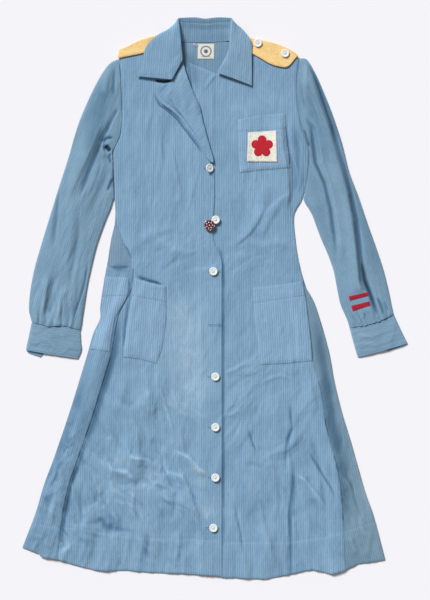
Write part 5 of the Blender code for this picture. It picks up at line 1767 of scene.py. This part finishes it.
def turnedMesh(name, profile, sides):
    # profile is (radius, height) in mm, from the lower to the upper middle
    shell = bmesh.new()
    mm, rings = table["mm"], []
    for radius, height in profile:
        turns = [2.0 * math.pi * k / sides for k in range(sides if radius else 1)]
        ring = [(radius * mm * math.cos(t), radius * mm * math.sin(t), height * mm) for t in turns]
        rings.append([shell.verts.new(point) for point in ring])
    joinRings(shell, rings)
    return meshOf(name, shell)


def buttonMaster():
    r, h, mm = buttonLook["radius"], buttonLook["height"], table["mm"]
    profile = [(a * r, b * h) for a, b in buttonLook["profile"]]
    body = newObject("buttonMaster", turnedMesh("buttonMaster", profile, 56))
    hole, away = buttonLook["holeRadius"] * mm, buttonLook["holeFromMiddle"] * mm
    cutters = bmesh.new()
    for k in range(4):
        turn = math.pi / 2.0 * k
        found = bmesh.ops.create_cone(
            cutters, cap_ends=True, segments=16, radius1=hole, radius2=hole, depth=4 * h * mm,
        )
        middle = (away * math.cos(turn), away * math.sin(turn), 0.0)
        bmesh.ops.translate(cutters, verts=found["verts"], vec=middle)
    tool = newObject("buttonHoles", meshOf("buttonHoles", cutters))
    cut = body.modifiers.new("holes", "BOOLEAN")
    cut.object, cut.operation, cut.solver = tool, "DIFFERENCE", "EXACT"
    deps = bpy.context.evaluated_depsgraph_get()
    result = bpy.data.meshes.new_from_object(body.evaluated_get(deps))
    bpy.data.objects.remove(body)
    bpy.data.objects.remove(tool)
    return result


def threadCross():
    # two bars of thread between the holes, each a low arch
    shell = bmesh.new()
    mm, steps, sides = table["mm"], 9, 6
    away, thin = buttonLook["holeFromMiddle"] * mm, 0.26 * mm
    depth = buttonLook["height"] * 0.8 * mm
    for turn in (0.0, math.pi / 2.0):
        c, s = math.cos(turn), math.sin(turn)
        for offset in (-0.32, 0.0, 0.32):
            rings = []
            for step in range(steps):
                t = step / (steps - 1) * 2.0 - 1.0
                lift = depth + (0.55 - 1.7 * abs(t) ** 5) * mm + (0.1 if turn else 0.0) * mm
                rings.append([])
                for k in range(sides):
                    a = 2.0 * math.pi * k / sides
                    x, y, z = t * away * 1.05, offset * mm + thin * math.cos(a), lift + thin * math.sin(a)
                    rings[-1].append(shell.verts.new((x * c - y * s, x * s + y * c, z)))
            joinRings(shell, rings)
            shell.faces.new(rings[0])
            shell.faces.new(rings[-1])
    return meshOf("threadCross", shell)


def putDown(name, mesh, across, down, height, finish, tilt=0.0, turn=0.0):
    # a copy of a mesh about its own foot, turned, tilted and set in its place
    copied = mesh.copy()
    copied.name = name
    points = np.zeros(len(copied.vertices) * 3)
    copied.vertices.foreach_get("co", points)
    points = points.reshape(-1, 3)
    c, s = turnOf(turn)
    points = points @ np.array([[c, s, 0.0], [-s, c, 0.0], [0.0, 0.0, 1.0]])
    c, s = turnOf(tilt)
    points = points @ np.array([[c, 0.0, -s], [0.0, 1.0, 0.0], [s, 0.0, c]])
    points = points + place(across, down, height)
    copied.vertices.foreach_set("co", points.ravel())
    copied.materials.clear()
    copied.materials.append(finish)
    copied.shade_smooth()
    copied.set_sharp_from_angle(angle=math.radians(40))
    return newObject(name, copied)


def clearOf(under, across, down, radius):
    turns = np.linspace(0.0, 2.0 * math.pi, 13)
    a = np.concatenate([[across], across + radius * np.cos(turns)])
    d = np.concatenate([[down], down + radius * np.sin(turns)])
    return float(np.max(under(a, d)))


def makeButtons():
    r = buttonLook["radius"]
    master, cross = buttonMaster(), threadCross()
    onFront = over(frontRightUnder)
    lift = strapLeft["wall"] + 0.1
    onStrap = lambda a, d: strapLeftUnder(a, d) + lift
    places = [(n, a, d, tilt, turn, onFront) for n, a, d, tilt, turn in buttonPlaces]
    places += [(n, a, d, 0.0, turn, onStrap) for n, a, d, turn in strapButtonPlaces]
    for name, a, d, tilt, turn, under in places:
        raised = abs(math.sin(math.radians(tilt))) * r * 0.62
        foot = clearOf(under, a, d, r * 0.8) + cloth["seamGap"] + raised
        finishPiece(putDown(name + "_disc", master, a, d, foot, finishes["button"], tilt, turn), [name])
        thread = putDown(name + "_thread", cross, a, d, foot, finishes["whiteThread"], tilt, turn)
        finishPiece(thread, [])
    bpy.data.meshes.remove(master)
    bpy.data.meshes.remove(cross)


def makeBadge():
    r, h = badgeLook["radius"], badgeLook["height"]
    a, d = badgeLook["across"], badgeLook["down"]
    foot = clearOf(over(frontRightUnder), a, d, r) + cloth["seamGap"]
    rise, pin = buttonLook["height"] + cloth["seamGap"], badgeLook["pinRadius"]
    bead = turnedMesh("badgeDot", [(0, 0), (1.15, 0.0), (1.0, 0.35), (0.6, 0.55), (0, 0.62)], 14)

    def dot(name, reach, turn, high, finish):
        at = a + reach * math.cos(turn), d + reach * math.sin(turn)
        finishPiece(putDown(name, bead, *at, foot + rise + h * high, finishes[finish]), [])

    rim = [(r * out, rise + (0.5 if up is None else h * up)) for out, up in badgeLook["rim"]]
    rim = turnedMesh("badgeRim", [(0, 0), (pin, 0), (pin, rise)] + rim, 64)
    finishPiece(putDown("badge_rim", rim, a, d, foot, finishes["brass"]), ["badge"])
    dome = turnedMesh("badgeDome", [(r * out, rise + h * up) for out, up in badgeLook["dome"]], 48)
    finishPiece(putDown("badge_enamel", dome, a, d, foot, finishes["enamel"]), [])
    for k in range(badgeLook["dots"]):
        turn = 2.0 * math.pi * k / badgeLook["dots"]
        dot(f"badge_dot_{k + 1}", r * 0.56, turn, 0.78, "whiteEnamel")
    for k in range(badgeLook["rimDots"]):
        turn = 2.0 * math.pi * (k + 0.5) / badgeLook["rimDots"]
        finish = "brass" if k % 4 else "whiteEnamel"
        dot(f"badge_rim_dot_{k + 1}", r * 0.95, turn, 0.66, finish)
    dot("badge_middle", 0.0, 0.0, 0.88, "whiteEnamel")


makeButtons()
makeBadge()
print("buttons and badge made")


# Stitches: Geometry Nodes lay one short stitch after another along the seams


stitchLook = {"spacing": 2.6, "length": 1.9, "thickness": 0.42, "lift": 0.12, "seed": 7}


def stitchTree():
    tree = bpy.data.node_groups.new("stitchRow", "GeometryNodeTree")
    face = tree.interface
    face.new_socket(name="Geometry", in_out="INPUT", socket_type="NodeSocketGeometry")
    numbers = {"Spacing": 0.0026, "Length": 0.0019, "Thickness": 0.0004, "Turn": 0.0, "Uneven": 0.2}
    for name, value in numbers.items():
        face.new_socket(name=name, in_out="INPUT", socket_type="NodeSocketFloat").default_value = value
    seed = face.new_socket(name="Seed", in_out="INPUT", socket_type="NodeSocketInt")
    seed.default_value = stitchLook["seed"]
    face.new_socket(name="Thread", in_out="INPUT", socket_type="NodeSocketMaterial")
    face.new_socket(name="Geometry", in_out="OUTPUT", socket_type="NodeSocketGeometry")
    kinds = {
        "entry": "NodeGroupInput", "leave": "NodeGroupOutput", "path": "GeometryNodeMeshToCurve",
        "spots": "GeometryNodeCurveToPoints", "stitch": "GeometryNodeMeshUVSphere", "least": "ShaderNodeMath",
        "most": "ShaderNodeMath", "chance": "FunctionNodeRandomValue", "long": "ShaderNodeMath",
        "size": "ShaderNodeCombineXYZ", "lean": "ShaderNodeCombineXYZ", "turned": "FunctionNodeRotateRotation",
        "asTurn": "FunctionNodeEulerToRotation", "put": "GeometryNodeInstanceOnPoints",
        "real": "GeometryNodeRealizeInstances", "soft": "GeometryNodeSetShadeSmooth",
        "dress": "GeometryNodeSetMaterial",
    }
    nodes = {name: tree.nodes.new(kind) for name, kind in kinds.items()}
    nodes["spots"].mode = "LENGTH"
    for name, value in {"Segments": 6, "Rings": 4, "Radius": 0.5}.items():
        nodes["stitch"].inputs[name].default_value = value
    for name, operation in {"least": "SUBTRACT", "most": "ADD", "long": "MULTIPLY"}.items():
        nodes[name].operation = operation
    nodes["least"].inputs[0].default_value = nodes["most"].inputs[0].default_value = 1.0
    nodes["turned"].rotation_space = "LOCAL"
    links = [  # from a node's output to a node's input
        ("entry", "Geometry", "path", 0), ("path", 0, "spots", "Curve"), ("entry", "Spacing", "spots", "Length"),
        ("entry", "Uneven", "least", 1), ("entry", "Uneven", "most", 1), ("least", 0, "chance", 2),
        ("most", 0, "chance", 3), ("entry", "Seed", "chance", "Seed"), ("entry", "Length", "long", 0),
        ("chance", 1, "long", 1), ("entry", "Thickness", "size", 0), ("entry", "Thickness", "size", 1),
        ("long", 0, "size", 2), ("entry", "Turn", "lean", 0), ("lean", 0, "asTurn", 0),
        ("spots", "Rotation", "turned", 0), ("asTurn", 0, "turned", 1), ("spots", "Points", "put", "Points"),
        ("stitch", "Mesh", "put", "Instance"), ("turned", 0, "put", "Rotation"), ("size", 0, "put", "Scale"),
        ("put", 0, "real", 0), ("real", 0, "soft", 0), ("soft", 0, "dress", "Geometry"),
        ("entry", "Thread", "dress", "Material"), ("dress", 0, "leave", 0),
    ]
    for start, output, end, entrance in links:
        tree.links.new(nodes[start].outputs[output], nodes[end].inputs[entrance])
    return tree


rowOfStitches = stitchTree()


def sewAlong(name, paths, thread, spacing=None, length=None, thickness=None, turn=0.0, uneven=0.2):
    # paths are lists of points in metres
    points, edges = [], []
    for path in paths:
        start = len(points)
        points += [tuple(p) for p in path]
        edges += [(start + k, start + k + 1) for k in range(len(path) - 1)]
    mesh = bpy.data.meshes.new(name + "Path")
    mesh.from_pydata(points, edges, [])
    guide = newObject(name + "Path", mesh)
    sewn = guide.modifiers.new("stitches", "NODES")
    sewn.node_group = rowOfStitches
    entries = [item for item in rowOfStitches.interface.items_tree if item.in_out == "INPUT"]
    sockets = {item.name: item.identifier for item in entries}
    values = {
        "Spacing": (spacing or stitchLook["spacing"]) * table["mm"],
        "Length": (length or stitchLook["length"]) * table["mm"],
        "Thickness": (thickness or stitchLook["thickness"]) * table["mm"],
        "Turn": math.radians(turn), "Uneven": uneven, "Seed": stitchLook["seed"], "Thread": thread,
    }
    for key, value in values.items():
        sewn[sockets[key]] = value
    deps = bpy.context.evaluated_depsgraph_get()
    plain = bpy.data.meshes.new_from_object(guide.evaluated_get(deps))
    plain.name = name
    bpy.data.objects.remove(guide)
    finishPiece(newObject(name, plain), [])


def insetPath(name, side, inset, start=0.0, end=1.0):
    # a line over a piece's upper surface, some millimetres in from one of its edges
    upper = made[name]["upper"]
    if side in ("left", "right"):
        upper = np.swapaxes(upper, 0, 1)
    count, beside = len(upper), np.arange(upper.shape[1])
    wide = np.linalg.norm(upper[-1] - upper[0], axis=-1) / table["mm"]
    at = np.clip(inset / np.maximum(wide, 1e-6) * (count - 1), 0, count - 1.001)
    at = at if side in ("left", "top") else count - 1 - at
    i = np.clip(at.astype(int), 0, count - 2)
    f = (at - i)[:, None]
    line = upper[i, beside] * (1 - f) + upper[i + 1, beside] * f
    first, last = int(start * (len(line) - 1)), int(end * (len(line) - 1))
    return line[first:last + 1] + [0.0, 0.0, stitchLook["lift"] * table["mm"]]


def linePath(points, top, step=3.0):
    # a drawn line over a surface given by its height
    points = np.array(points, float)
    run = runOf(points)
    at = np.linspace(0.0, run[-1], max(2, int(run[-1] / step)))
    across, down = np.interp(at, run, points[:, 0]), np.interp(at, run, points[:, 1])
    return place(across, down, top(across, down) + stitchLook["lift"])


def topOf(under, wall=cloth["wall"]):
    return lambda a, d: under(a, d) + wall


buttonholes = {  # across of both ends, down
    "places": [(409, 424, 337), (413, 437, 443), (416, 440, 543), (418, 442, 650), (416, 440, 753),
               (416, 440, 854), (416, 440, 954.5), (412, 436, 1055)],
    "halfWidth": 1.5,
}
looseThread = [  # across, down, height over 3 mm
    (397, 89.5, 0.2), (393, 91, 0.9), (389, 91.5, 1.0), (386, 89, 0.6), (388, 87.5, 0.5), (391, 88.5, 0.7),
]


def makeStitches():
    blue, white, pale = finishes["blueThread"], finishes["whiteThread"], finishes["paleThread"]
    edges = []
    for name, cut, under, floats, carrier in pocketPieces:
        edges += [insetPath(name, side, 2.2) for side in ("left", "right", "bottom")]
        first, last = pocketHems[name]
        ends = [(cut["rows"][1][0][0] + 2, first), (cut["rows"][1][-1][0] - 2, last)]
        edges.append(linePath(ends, topOf(over(under, 1, floats * cloth["slack"]))))
    sewAlong("stitches_pockets", edges, pale, 3.0, 1.9, 0.45)
    edges = [insetPath("lapel_right", "left", 3.0, 0.02, 0.97), insetPath("lapel_right", "top", 3.0)]
    edges += [insetPath("collar", "right", 4.0), insetPath("collar", "top", 4.0, 0.5, 1.0),
              insetPath("collar", "bottom", 4.0, 0.5, 1.0)]
    sewAlong("stitches_edges", edges, blue)
    unders = {
        "front_right": frontRightUnder, "front_left": frontLeftUnder, "gore_left": goreLeftUnder,
        "gore_right": goreRightUnder,
    }
    hems = [linePath(hemStitches[name], topOf(under)) for name, under in unders.items()]
    sewAlong("stitches_hem", hems, pale, 3.2, 1.6, 0.4)
    cuffs = []
    for name in ("cuff_right", "cuff_left"):
        cuffs += [insetPath(name, "bottom", 3.5, 0.06, 0.94), insetPath(name, "top", 3.0, 0.06, 0.94)]
    sewAlong("stitches_cuffs", cuffs, blue)
    straps = []
    for name in ("strap_right", "strap_left"):
        straps += [insetPath(name, side, 2.4) for side in ("left", "right", "top")]
    sewAlong("stitches_straps", straps, finishes["goldThread"])
    sides = ("left", "right", "top", "bottom")
    paths = [insetPath("chest_patch", side, 1.6) for side in sides]
    paths += [insetPath("neck_label", side, 1.2) for side in sides]
    sewAlong("stitches_white", paths, white, 1.9, 1.5, 0.36)
    loose = [place(a, d, 3.0 + rise) for a, d, rise in looseThread]
    sewAlong("loose_thread", [loose], white, 0.55, 1.5, 0.7)
    rim = made["chest_flower"]["rim"]
    inward = (rim.mean(axis=0) - rim) * 0.06
    loop = [p + off + [0.0, 0.0, 0.0001] for p, off in zip(rim, inward)] + [rim[0] + inward[0]]
    sewAlong("stitches_flower", [loop], finishes["redThread"], 1.5, 2.6, 0.4, 90.0)
    holes, half = [], buttonholes["halfWidth"]
    for left, right, down in buttonholes["places"]:
        hole = [(left, -half), (right, -half), (right + 1, 0), (right, half), (left, half), (left - 1, 0)]
        hole = [(across, down + off) for across, off in hole + hole[:1]]
        holes.append(linePath(hole, topOf(frontRightUnder), 0.8))
    sewAlong("stitches_buttonholes", holes, blue, 0.75, 2.3, 0.5, 90.0)


makeStitches()
print("stitches made")


# Floor, light and camera


studio = {
    "floor": (0.868, 0.862, 0.898),
    "key": 4.3,
    "keyAngle": 17.0,  # how soft the key light is
    "keyAzimuth": 124.0,
    "keyHeight": 36.0,
    "keyColour": (1.0, 0.985, 0.97),
    "sky": 0.27,
    "skyColour": (0.93, 0.96, 1.0),
    "cameraHeight": 3.4,
    "sensor": 24.0,  # mm
    "frameTall": 1.2,  # metres of table in the picture's height
    "lookAt": (430.0, 600.0),
}


def makeStudio():
    shell = bmesh.new()
    bmesh.ops.create_grid(shell, x_segments=1, y_segments=1, size=30.0)
    mesh = bpy.data.meshes.new("floor")
    shell.to_mesh(mesh)
    shell.free()
    m = Maker("paperFloor")
    clouds = m.noise(m.where(), 1.2, 2.0, 0.4)
    darker = tuple(c * 0.985 for c in studio["floor"])
    tone = m.mix(m.ramp(clouds, 0.3, 0.7) * 0.3, studio["floor"], darker)
    mesh.materials.append(m.finish(Base_Color=tone, Roughness=0.9, Specular_IOR_Level=0.1))
    newObject("floor", mesh)
    light = bpy.data.lights.new("key", "SUN")
    light.energy, light.angle = studio["key"], math.radians(studio["keyAngle"])
    light.color = studio["keyColour"]
    turns = (90.0 - studio["keyHeight"], 0.0, studio["keyAzimuth"] + 90.0)
    newObject("key", light).rotation_euler = [math.radians(turn) for turn in turns]
    world = bpy.data.worlds.new("softSky")
    world.use_nodes = True
    sky = world.node_tree.nodes["Background"].inputs
    sky[0].default_value, sky[1].default_value = (*studio["skyColour"], 1.0), studio["sky"]
    bpy.context.scene.world = world
    view = bpy.context.scene.view_settings
    view.view_transform, view.look = "Standard", "None"
    camera = bpy.data.cameras.new("camera")
    eye = newObject("camera", camera)
    middle = place(*studio["lookAt"], 0.0)
    eye.location = (middle[0], middle[1], studio["cameraHeight"])
    camera.sensor_fit, camera.sensor_height = "VERTICAL", studio["sensor"]
    camera.lens = studio["sensor"] * studio["cameraHeight"] / studio["frameTall"]
    camera.clip_end = 30.0
    bpy.context.scene.camera = eye


makeStudio()
print("studio made")
